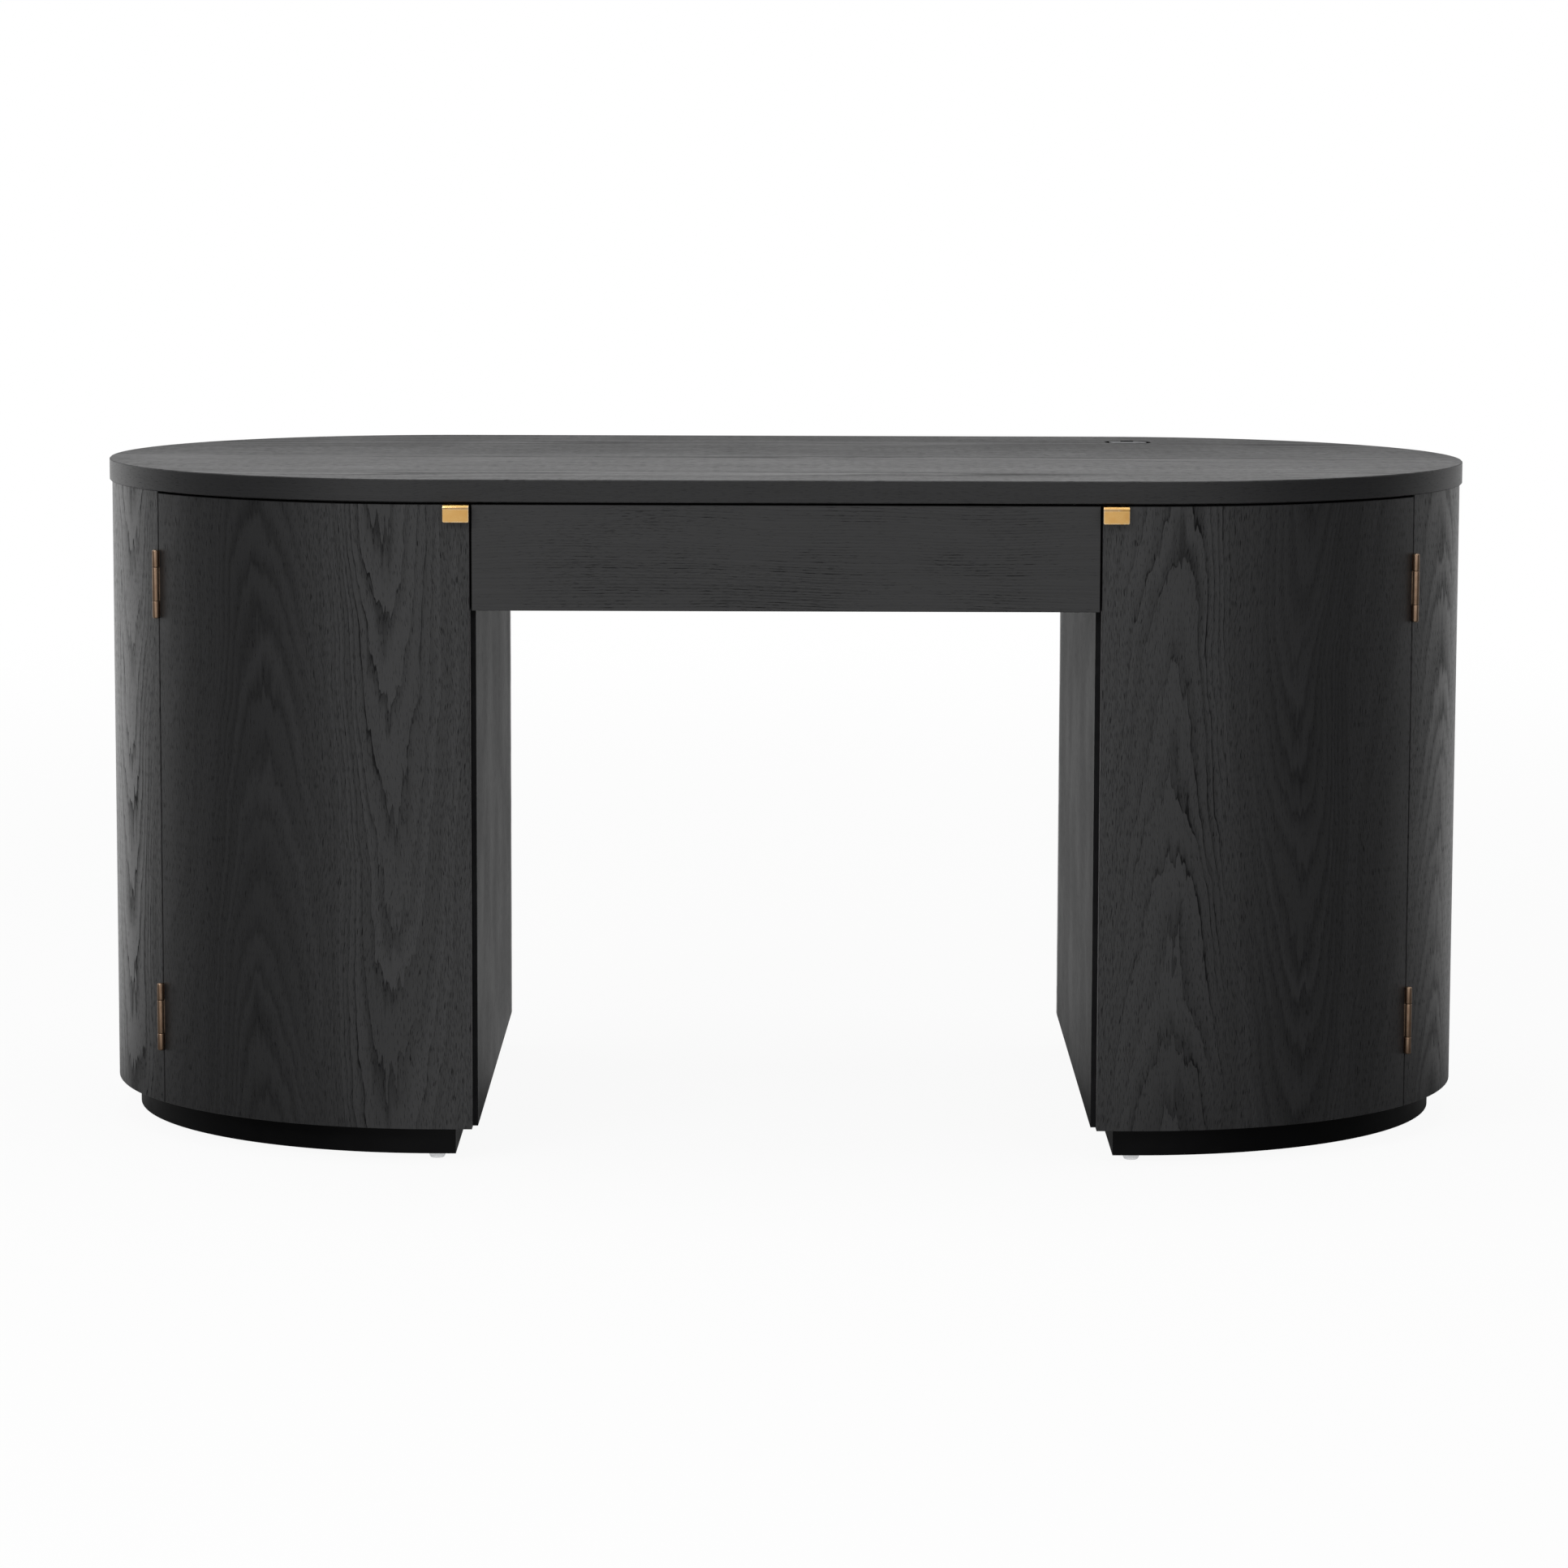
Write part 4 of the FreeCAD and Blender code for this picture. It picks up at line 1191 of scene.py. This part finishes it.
@dataclass
class CableGrommet(Assembly):
    """Round grommet in the top: a sleeve with a flush flange, and a cap with a cable slot."""

    wall: float = 0.0018
    flange: float = 0.0016
    flange_lap: float = 0.00315
    ledge: float = 0.0016
    cap_height: float = 0.003
    skirt_gap: float = 0.0003
    skirt_wall: float = 0.0016
    slot_half: float = 0.008
    slot_start: float = 0.00975
    rim: float = 0.0007
    rim_cut: float = 0.3
    rim_share: float = 0.6
    last_slice: float = 0.02
    side_slices: int = 14
    slot_slices: int = 9
    skirt_slices: int = 44

    def sleeve(self, seat: Seat, low: float, radius: float) -> Skin:
        """Turn the sleeve's closed profile about the grommet's line: tube, flange, mouth and ledge.

        Args:
            seat: middle of the flange's upper face.
            low: height of the sleeve's lower end below it.
            radius: the flange's radius.

        Returns:
            The sleeve's skin.
        """
        tube = radius - self.flange_lap
        mouth = tube - self.wall
        step = mouth - self.ledge
        rim, top = self.rim, self.cap_height
        cut = rim * self.rim_cut
        profile = np.array([
            (tube, low), (tube, -self.flange), (radius, -self.flange), (radius, -rim),
            (radius - cut, -cut), (radius - rim, 0.0), (mouth + rim, 0.0), (mouth + cut, -cut),
            (mouth, -rim), (mouth, -top), (step, -top), (step, -top - self.ledge),
            (mouth, -top - self.ledge), (mouth, low),
        ])
        skin = Skin()
        skin.add(seat.turned(profile[:, 0], profile[:, 1], FULL_TURN), looped=True)
        return skin

    def cap(self, seat: Seat, low: float, radius: float) -> Skin:
        """Cap of upright slices, with a skirt below it that is open at the slot.

        The slice at a place x of the disc runs from -sqrt(r^2 - x^2) to sqrt(r^2 - x^2), but only to the
        slot's start where x lies within the slot. Each slice is a rectangle with round corners: a circle
        pulled apart along both axes. The skirt is a small upright rectangle carried round the line from one
        side of the slot to the other.

        Args:
            seat: middle of the flange's upper face.
            low: height of the skirt's lower end below it.
            radius: the cap's radius.

        Returns:
            The cap's skin.
        """
        reach = np.arcsin(self.slot_half / radius)
        side = radius * np.sin(np.linspace(reach, QUARTER, self.side_slices))
        inner = np.linspace(-self.slot_half, self.slot_half, self.slot_slices)
        across = np.concatenate([-side[::-1], inner, side])
        in_slot = np.zeros(len(across), bool)
        in_slot[self.side_slices:-self.side_slices] = True
        front = -np.sqrt(np.maximum(radius ** 2 - across ** 2, (radius * self.last_slice) ** 2))
        back = np.where(in_slot, self.slot_start, -front)
        half, middle = (back - front) / 2, (back + front) / 2
        rim = np.minimum(self.rim, half * self.rim_share)
        circle, _ = rounded_outline(1.0, 1.0, 0.5, 6)
        edge_y = np.sign(circle[:, 0])[None] * (half - rim)[:, None] + 2 * rim[:, None] * circle[:, 0][None]
        half_high = self.cap_height / 2
        edge_z = np.sign(circle[:, 1]) * (half_high - self.rim) + 2 * self.rim * circle[:, 1]
        skin = Skin()
        skin.add(seat.points(across[:, None], middle[:, None] + edge_y, (edge_z - half_high)[None]))
        skirt = radius - self.ledge - self.skirt_gap
        opening = np.arcsin(self.slot_half / skirt)
        angle = np.linspace(QUARTER + opening, QUARTER + 2 * np.pi - opening, self.skirt_slices)
        upright, _ = rounded_outline(self.skirt_wall, -low - self.cap_height, self.rim / 3, 3)
        radii = skirt - self.skirt_wall / 2 + upright[:, 0]
        heights = (low - self.cap_height) / 2 + upright[:, 1]
        skin.add(seat.turned(radii, heights, angle).transpose(1, 0, 2))
        return skin

    def build(self) -> None:
        """Make the sleeve and the cap in the frame's places."""
        low, high = corners("grommet_sleeve")
        middle = (low + high) / 2
        seat = Seat(np.array([middle[0], middle[1], high[2]]), *UPRIGHT)
        sleeve = self.sleeve(seat, low[2] - high[2], (high[0] - low[0]) / 2)
        self.dresser.fit(sleeve, "cable_sleeve", self.palette.black_plastic, "frame", "grommet_sleeve")
        cap_low, cap_high = corners("grommet_cap")
        cap = self.cap(seat, cap_low[2] - high[2], (cap_high[0] - cap_low[0]) / 2)
        self.dresser.fit(cap, "cable_cap", self.palette.grey_plastic, "grommet_cap", "grommet_cap")


@dataclass
class Desktop(Assembly):
    """Oval top with its grommet, and the apron that hangs below it at the back."""

    def build(self) -> None:
        """Dress the top, the grommet and the apron."""
        top = VeneerFinish(
            "oak_top", GrainLay.ALONG_TOP, self.plan, seed=3.0, leaf_width=0.27, leaf_shift=0.574,
            ring_width=0.017, heart_depth=0.07, slope=0.016, year_strength=0.7, specular=0.12,
            # The back setting paints the top's sheen dimmer towards the back.
            face_film=0.35, back_sheen_dimming=0.9,
        )
        apron = VeneerFinish(
            "oak_apron", GrainLay.ALONG_FRONT, self.plan, seed=5.0, leaf_shift=0.5, slope=0.03
        )
        self.dresser.dress(top, "desktop")
        self.dresser.dress(apron, "rear_apron")
        self.dresser.dress(self.palette.beech, "apron_dowels")
        CableGrommet(self.dresser, self.palette, self.plan).build()


@dataclass
class Glides(SidedAssembly):
    """Round nylon glides under one cabinet."""

    height: float = 0.008
    radius: float = 0.0092
    sole: float = 0.0062
    bowl: float = 0.0052
    stem: float = 0.003
    stem_tip: float = 0.001
    sole_start: float = 0.4
    stem_point: float = 0.6
    end_angle: float = math.radians(18.0)
    frame_radius: float = 0.01

    def places(self) -> list[tuple[float, float]]:
        """Find the glides' places on the floor: two at the knee side and two on the round end.

        Returns:
            Their places as x and y.
        """
        low, high = corners(self.named("glides")[0])
        near_x, far_x = sorted(abs(np.array([low[0], high[0]])))
        knee_x, end_x = near_x + self.frame_radius, far_x - self.frame_radius
        knee_y = high[1] - self.frame_radius
        end_y = (end_x - self.plan.end_centre) * math.tan(self.end_angle)
        spots = ((knee_x, knee_y), (end_x, end_y))
        return [(self.sign * x, turn * y) for x, y in spots for turn in (-1, 1)]

    def build(self) -> None:
        """Turn each glide's profile: a flat sole, a bowl that is a quarter ellipse, a wall and the stem."""
        top = corners(self.named("glides")[0])[1][2]
        bend = np.linspace(0, QUARTER, 8)
        bowl_radius = self.sole + (self.radius - self.sole) * np.sin(bend)
        bowl_height = self.bowl * (1 - np.cos(bend))
        upper_radii = [self.radius, self.stem, self.stem, self.stem * self.stem_point]
        radii = np.concatenate([[self.sole * self.sole_start], bowl_radius, upper_radii])
        heights = np.concatenate([[0.0], bowl_height, [self.height, self.height, top - self.stem_tip, top]])
        skin = Skin()
        for x, y in self.places():
            skin.add(Seat(np.array([x, y, 0.0]), *UPRIGHT).turned(radii, heights, FULL_TURN))
        self.fit(skin, "nylon_glides", self.palette.nylon, "frame", "glides")


@dataclass
class Cabinet(SidedAssembly):
    """Half-round cabinet with its shelf, plinth and glides."""

    def build(self) -> None:
        """Dress the cabinet's boards and fittings."""
        left = self.side is Side.LEFT
        shell_name, knee_name = self.named("shell", "knee_side")
        shell = VeneerFinish(
            f"oak_{shell_name}", GrainLay.UPRIGHT_ROUND_WALL, self.plan, seed=11.0 if left else 13.0,
            leaf_shift=5.8 if left else -3.8,
        )
        knee = VeneerFinish(
            f"oak_{knee_name}", GrainLay.UPRIGHT_SIDE, self.plan, seed=17.0 if left else 19.0,
            ring_width=0.0026, heart_depth=0.2, waver=0.4, ring_strength=0.25, pore_strength=0.3,
            film=0.0, specular=0.05, light=(25, 25, 26),
        )
        wear = {
            shell: ("shell",),
            knee: ("side_panel",),
            self.palette.black_board: ("base_panel", "top_panel", "shelf", "glide_blocks"),
            self.palette.plinth_black_and_shade: ("plinth_curve", "plinth_board"),
            self.palette.zinc: ("shelf_pins", "top_screws"),
            self.palette.black_plastic: ("catch",),
        }
        for finish, parts in wear.items():
            self.dresser.dress(finish, *self.named(*parts))
        Glides(self.dresser, self.palette, self.plan, self.side).build()


@dataclass
class DoorPull(SidedAssembly):
    """Bent brass strip on the door's top edge, whose lip hangs in front as a finger tab."""

    plate: float = 0.002
    bend: float = 0.003
    corner: float = 0.0018
    rim: float = 0.0006
    groove_drop: float = 0.0032
    groove_width: float = 0.0009
    groove_depth: float = 0.0006
    groove_slope: float = 0.00012
    groove_margin: float = 0.0003

    def strip(self, low: np.ndarray, high: np.ndarray) -> Skin:
        """Carry the strip's section along its bent middle line.

        At a way s the line has gone min(s, leg) forwards, turned by a = (s - leg) / r kept from 0 to a
        quarter turn, and then gone the rest down, so it lies at back - leg - r sin a and
        top - r (1 - cos a) less the rest. The section is a rectangle with round corners across X and the
        strip's thickness. Its ends draw in as round rims, its lower corners are round, and the groove
        presses in its outer face.

        Args:
            low: lowest corner of the pull's box.
            high: highest corner of the pull's box.

        Returns:
            The strip's skin.
        """
        width, depth, height = high - low
        turn_radius = self.bend - self.plate / 2
        leg = depth - self.bend
        bent = leg + turn_radius * QUARTER
        total = bent + height - self.bend
        slopes = [0.0, self.groove_slope, self.groove_width - self.groove_slope, self.groove_width]
        walls = bent + self.groove_drop - self.bend + np.array(slopes)
        rims = self.corner * (1 - np.cos(np.linspace(0, QUARTER, 9)))
        way = np.unique(np.concatenate([
            rims, np.linspace(self.plate, leg, 6), np.linspace(leg, bent, 12), walls,
            np.linspace(walls[-1] + self.groove_margin, total - self.corner, 8), total - rims,
        ]))
        turn = np.clip((way - leg) / turn_radius, 0.0, QUARTER)
        line_y = high[1] - np.minimum(way, leg) - turn_radius * np.sin(turn)
        fall = np.maximum(way - bent, 0.0)
        line_z = high[2] - self.plate / 2 - turn_radius * (1 - np.cos(turn)) - fall
        section, facing = rounded_outline(width, self.plate, self.rim)
        draw_in = rim_inset(np.minimum(way, total - way), self.rim)
        section_at = section[None] - draw_in[:, None, None] * facing[None]
        corner_in = rim_inset(total - way, self.corner)
        across = section_at[..., 0] - np.sign(section[:, 0])[None] * corner_in[:, None]
        pressed = np.interp(way, walls, [0.0, self.groove_depth, self.groove_depth, 0.0])
        thick = section_at[..., 1] - np.where(section[:, 1] > 0, 1.0, 0.0)[None] * pressed[:, None]
        skin = Skin()
        skin.add(np.stack([
            (low[0] + high[0]) / 2 + across,
            line_y[:, None] - thick * np.sin(turn)[:, None],
            line_z[:, None] + thick * np.cos(turn)[:, None],
        ], axis=-1))
        return skin

    def build(self) -> None:
        """Make the strip and its two screws."""
        pull, screws = self.named("door_pull", "pull_screws")
        self.fit(self.strip(*corners(pull)), "brass_tab", self.palette.brass, "door", "door_pull")
        screw = CrossHeadScrew()
        low, high = corners(screws)
        skin = Skin()
        for x in (low[0] + screw.head_radius, high[0] - screw.head_radius):
            place = np.array([x, (low[1] + high[1]) / 2, high[2]])
            screw.add(skin, Seat(place, *UPRIGHT), high[2] - low[2])
        self.fit(skin, "tab_screws", self.palette.brass, "door", "pull_screws")


@dataclass
class DoorHinges(SidedAssembly):
    """Two butt hinges of a door: leaves with knuckles, pins and screws."""

    length: float = 0.076
    barrel: float = 0.00375
    bore: float = 0.00205
    pin: float = 0.002
    pin_head: float = 0.0008
    pin_head_radius: float = 0.0031
    pin_head_flat: float = 0.25
    leaf: float = 0.0015
    leaf_depth: float = 0.015
    leaf_corner: float = 0.0025
    web_corner: float = 0.0002
    seam_half: float = 0.001
    split_share: float = 0.5
    knuckle_gap: float = 0.0004
    screw_length: float = 0.015
    screw_shares: tuple[float, ...] = (-0.36, 0.0, 0.36)
    rim: float = 0.0004
    end_rim_share: float = 0.48

    def seats(self) -> list[Seat]:
        """Find the middle of each hinge on the barrel's line.

        Returns:
            Seats with out away from the end's centre, beside towards the shell and along upright.
        """
        low, high = corners(self.named("hinge_pins")[0])
        x, y, _ = (low + high) / 2
        out = unit(np.array([x - self.sign * self.plan.end_centre, y, 0.0]))
        beside = np.array([-out[1], out[0], 0.0]) * self.sign
        reach = self.pin_head + self.length / 2
        heights = (low[2] + reach, high[2] - reach)
        return [Seat(np.array([x, y, z]), out, beside, UPRIGHT[2]) for z in heights]

    def edge(self, seat: Seat) -> float:
        """Way out from the barrel's line to the door's outer face."""
        off_centre = seat.place[:2] - np.array([self.sign * self.plan.end_centre, 0.0])
        return self.plan.end_radius - float(np.linalg.norm(off_centre))

    def knuckle(self, skin: Skin, seat: Seat, low: float, high: float) -> None:
        """Turn a rounded rectangle between the bore and the barrel's face about the line.

        Args:
            skin: the skin that takes the knuckle.
            seat: the hinge's middle.
            low: the knuckle's lower end along the line.
            high: its upper end.
        """
        wall = self.barrel - self.bore
        at_end = max(-low, high) >= self.length / 2
        outline, _ = rounded_outline(wall, high - low, wall * self.end_rim_share if at_end else self.rim)
        radii = self.bore + wall / 2 + outline[:, 0]
        skin.add(seat.turned(radii, (low + high) / 2 + outline[:, 1], FULL_TURN), looped=True)

    def leaves(self, toward_shell: float) -> Skin:
        """Leaves of one side: a plate in the seam, and webs that carry its knuckles.

        Args:
            toward_shell: 1 for the shell's leaves and -1 for the door's.

        Returns:
            The leaves' skin.
        """
        half, split = self.length / 2, self.length * self.split_share / 2
        near, far = split - self.knuckle_gap / 2, split + self.knuckle_gap / 2
        own = ((-half, -far), (far, half)) if toward_shell > 0 else ((-near, near),)
        faces = sorted(toward_shell * way for way in (self.seam_half, self.seam_half + self.leaf))
        skin = Skin()
        for seat in self.seats():
            edge = self.edge(seat)
            plate = seat.moved(out=edge - self.leaf_depth / 2)
            skin.add(plate.plate(self.leaf_depth, self.length, self.leaf_corner, *faces, self.rim / 2))
            for low, high in own:
                web_low, web_high = edge - self.leaf, -(self.bore + self.barrel) / 2
                web = seat.moved(out=(web_low + web_high) / 2, along=(low + high) / 2)
                sizes = (web_high - web_low, high - low, self.web_corner)
                skin.add(web.plate(*sizes, *faces, self.web_corner / 2))
                self.knuckle(skin, seat, low, high)
        return skin

    def pins(self) -> Skin:
        """Turn each pin's profile: a domed head, the pin and the other domed head.

        A dome's radius is head radius * sin(b) and its height head * cos(b), for b from its flat middle to
        a quarter turn.

        Returns:
            The pins' skin.
        """
        bend = np.linspace(self.pin_head_flat, QUARTER, 6)
        dome = self.pin_head_radius * np.sin(bend)
        crown = self.length / 2 + self.pin_head * np.cos(bend)
        radii = np.concatenate([dome, [self.pin, self.pin], dome[::-1]])
        heights = np.concatenate([-crown, [-self.length / 2, self.length / 2], crown[::-1]])
        skin = Skin()
        for seat in self.seats():
            skin.add(seat.turned(radii, heights, FULL_TURN))
        return skin

    def screws(self, toward_shell: float) -> Skin:
        """Screws through each leaf of one side, their heads in the seam.

        Args:
            toward_shell: 1 for the shell's leaves and -1 for the door's.

        Returns:
            The screws' skin.
        """
        screw = CrossHeadScrew()
        skin = Skin()
        for seat in self.seats():
            out = self.edge(seat) - self.leaf_depth / 2
            for share in self.screw_shares:
                head = seat.moved(out, toward_shell * self.seam_half, share * self.length)
                turned = Seat(head.place, head.out, head.along, -toward_shell * head.beside)
                screw.add(skin, turned, self.screw_length)
        return skin

    def build(self) -> None:
        """Make the hinges' pieces on the cabinet and on the door."""
        bronze = self.palette.bronze
        for part, holder, toward_shell in (("shell", "frame", 1.0), ("door", "door", -1.0)):
            leaves, screws = self.leaves(toward_shell), self.screws(toward_shell)
            self.fit(leaves, f"{part}_knuckles", bronze, holder, f"hinge_{part}_leaves")
            self.fit(screws, f"{part}_leaf_screws", bronze, holder, f"hinge_{part}_screws")
        self.fit(self.pins(), "domed_pins", bronze, "frame", "hinge_pins")


@dataclass
class Door(SidedAssembly):
    """Bent door with its pull, strike and hinge leaves."""

    def build(self) -> None:
        """Dress the door and what is on it, with the veneer's arches where the side has them."""
        door, strike = self.named("door", "strike")
        if self.side is Side.LEFT:
            veneer = VeneerFinish(
                "oak_left_door", GrainLay.UPRIGHT_ROUND_WALL, self.plan, seed=23.0, leaf_width=0.157,
                leaf_shift=3.283, lean=-0.5, plain_leaf=-2.0, light=(28, 28, 29),
            )
        else:
            veneer = VeneerFinish(
                "oak_right_door", GrainLay.UPRIGHT_ROUND_WALL, self.plan, seed=29.0, leaf_shift=-1.196,
                soft_turn=-1.0, plain_leaf=3.0,
            )
        self.dresser.dress(veneer, door)
        self.dresser.dress(self.palette.zinc, strike)
        for fitting in (DoorPull, DoorHinges):
            fitting(self.dresser, self.palette, self.plan, self.side).build()


@dataclass
class Drawer(Assembly):
    """Wide drawer between the cabinets, with its slides."""

    def build(self) -> None:
        """Dress the drawer's front, its box and the slides."""
        front = VeneerFinish(
            "oak_drawer_front", GrainLay.ALONG_FRONT, self.plan, seed=35.0, leaf_width=1.2, leaf_shift=0.1,
            slope=0.004, heart_depth=0.05, ring_width=0.0052, ring_strength=1.5, waver=0.4, dash_gap=0.44,
            dash_length=0.015, patchiness=0.85, end_fade=0.2, pore_strength=0.5, year_strength=0.15,
        )
        boards = ("left_side", "right_side", "box_front", "box_back", "bottom")
        slides = ("outers", "middles", "inners", "cabinet_screws", "box_screws")
        self.dresser.dress(front, "drawer_front")
        self.dresser.dress(self.palette.drawer_board, *[f"drawer_{part}" for part in boards])
        self.dresser.dress(self.palette.zinc, "drawer_front_screws", *[f"slide_{part}" for part in slides])


@dataclass(frozen=True)
class SoftBox:
    """Studio lamp with a wide soft face."""

    name: str
    place: tuple[float, float, float]
    aim: tuple[float, float, float]
    width: float
    height: float
    watts: float

    def build(self) -> None:
        """Make the lamp and turn it to its aim."""
        lamp = bpy.data.lights.new(self.name, "AREA")
        lamp.shape = "RECTANGLE"
        lamp.size = self.width
        lamp.size_y = self.height
        lamp.energy = self.watts
        thing = bpy.data.objects.new(self.name, lamp)
        thing.location = self.place
        way = Vector(self.aim) - Vector(self.place)
        thing.rotation_euler = way.to_track_quat("-Z", "Y").to_euler()
        thing.visible_camera = False
        bpy.context.scene.collection.objects.link(thing)
        LOG.info("lamp %s stands", self.name)


@dataclass
class Studio:
    """Camera, pale floor, lamps and world."""

    shop: Workshop
    camera_place: tuple[float, float, float] = (-0.00377, -6.2942, 1.17694)
    pitch_down: float = 0.1263
    turn: float = -0.0004
    roll: float = 0.003
    focal_pixels: float = 6661.0
    picture_pixels: float = 1932.0
    sensor: float = 36.0
    sight: float = 200.0
    floor_half: float = 60.0
    floor_colour: Colour = (236, 236, 236)
    floor_glow: float = 0.93
    near_floor: float = 1.6
    far_floor: float = 6.0
    world_level: float = 0.42
    front_mirror: float = 0.78
    side_mirror: float = 0.12
    right_dimming: float = 0.38
    lamps: tuple[SoftBox, ...] = (
        SoftBox("key", (-2.6, -4.2, 3.2), (0.0, 0.0, 0.4), 2.6, 2.0, 98.0),
        SoftBox("fill", (2.8, -4.4, 2.8), (0.0, 0.0, 0.4), 2.2, 2.2, 33.0),
        SoftBox("top", (0.0, 0.2, 4.4), (0.0, 0.0, 0.7), 3.4, 2.4, 50.0),
    )

    def camera(self) -> None:
        """Stand the camera where the photographer's stood, with the same field of view."""
        data = bpy.data.cameras.new("camera")
        data.sensor_width = self.sensor
        data.lens = self.focal_pixels * self.sensor / self.picture_pixels
        data.clip_end = self.sight
        thing = bpy.data.objects.new("camera", data)
        aim = Matrix.Rotation(self.turn, 4, "Z") @ Matrix.Rotation(math.pi / 2 - self.pitch_down, 4, "X")
        aim = aim @ Matrix.Rotation(self.roll, 4, "Z")
        thing.rotation_euler = aim.to_euler()
        thing.location = self.camera_place
        bpy.context.scene.collection.objects.link(thing)
        bpy.context.scene.camera = thing

    def rays(self, sheet: NodeSheet) -> tuple[Reading, Reading]:
        """Sort the rays that meet the studio.

        Args:
            sheet: the sheet that takes the nodes.

        Returns:
            Masks of rays that look straight or through a clear piece, and of rays that a gloss reflects.
        """
        path = {plug.name: Reading(sheet, plug) for plug in sheet.node("ShaderNodeLightPath").outputs}
        through = path["Is Transmission Ray"]
        direct = sheet.larger(path["Is Camera Ray"], through)
        return direct, sheet.math("SUBTRACT", path["Is Glossy Ray"], through, clamp=True)

    def room_level(self, sheet: NodeSheet, direction: Reading) -> Reading:
        """Level of the room that a reflection sees in a direction.

        Args:
            sheet: the sheet that takes the node group.
            direction: the way from the desk.

        Returns:
            The level's reading.
        """
        return sheet.use(
            self.shop.room, direction=direction, front_level=self.front_mirror,
            side_level=self.side_mirror, right_dimming=self.right_dimming,
        )["Level"]

    def floor(self) -> None:
        """Lay a pale floor that shows near white to the camera and keeps the desk's shadow."""
        half = self.floor_half
        square = [(-half, -half, 0.0), (half, -half, 0.0), (half, half, 0.0), (-half, half, 0.0)]
        mesh = bpy.data.meshes.new("studio_floor")
        mesh.from_pydata(square, [], [(0, 1, 2, 3)])
        thing = bpy.data.objects.new("studio_floor", mesh)
        bpy.context.scene.collection.objects.link(thing)
        material = bpy.data.materials.new("studio_floor")
        sheet = empty_sheet(material)
        direct, mirrored = self.rays(sheet)
        reach = sheet.read("ShaderNodeVectorMath", {0: sheet.place()}, "Value", operation="LENGTH")
        away = sheet.read("ShaderNodeVectorMath", {0: sheet.place()}, operation="NORMALIZE")
        level = sheet.between(mirrored, 1.0, self.room_level(sheet, away))
        far = sheet.step(reach, self.near_floor, self.far_floor)
        share = sheet.larger(direct, mirrored) * sheet.between(far, self.floor_glow, 1.0)
        matt = sheet.read("ShaderNodeBsdfDiffuse", {"Color": linear(self.floor_colour)})
        glow = sheet.read("ShaderNodeEmission", {"Strength": level})
        mixed = sheet.read("ShaderNodeMixShader", {0: share, 1: matt, 2: glow})
        sheet.node("ShaderNodeOutputMaterial", {"Surface": mixed})
        mesh.materials.append(material)

    def world(self) -> None:
        """Make the world white to the camera, a studio with dim sides in reflections, else a soft light."""
        world = bpy.data.worlds.new("studio")
        bpy.context.scene.world = world
        sheet = empty_sheet(world)
        direct, mirrored = self.rays(sheet)
        room = self.room_level(sheet, sheet.read("ShaderNodeTexCoord", output="Generated"))
        level = sheet.between(direct, sheet.between(mirrored, self.world_level, room), 1.0)
        white = (1.0, 1.0, 1.0, 1.0)
        back = sheet.read("ShaderNodeBackground", {"Color": white, "Strength": level})
        sheet.node("ShaderNodeOutputWorld", {"Surface": back})

    def build(self) -> None:
        """Set up the whole studio."""
        self.camera()
        self.floor()
        self.world()
        for lamp in self.lamps:
            lamp.build()
        bpy.context.scene.view_settings.view_transform = "Standard"
        LOG.info("studio stands")


def main() -> None:
    """Load the frame, dress every sub-assembly and set up the studio."""
    logging.basicConfig(level=logging.INFO, format="%(message)s")
    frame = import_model()
    top_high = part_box("desktop")[1]
    centre = top_high.x - top_high.y
    top_plan = OvalPlan(centre, top_high.y)
    wall_plan = OvalPlan(centre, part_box("right_shell")[1].x - centre)
    shop = Workshop()
    dresser = Dresser(frame, shop)
    palette = Palette()
    Studio(shop).build()
    Desktop(dresser, palette, top_plan).build()
    for side in Side:
        Cabinet(dresser, palette, wall_plan, side).build()
        Door(dresser, palette, wall_plan, side).build()
    Drawer(dresser, palette, wall_plan).build()


if __name__ == "__main__":
    main()
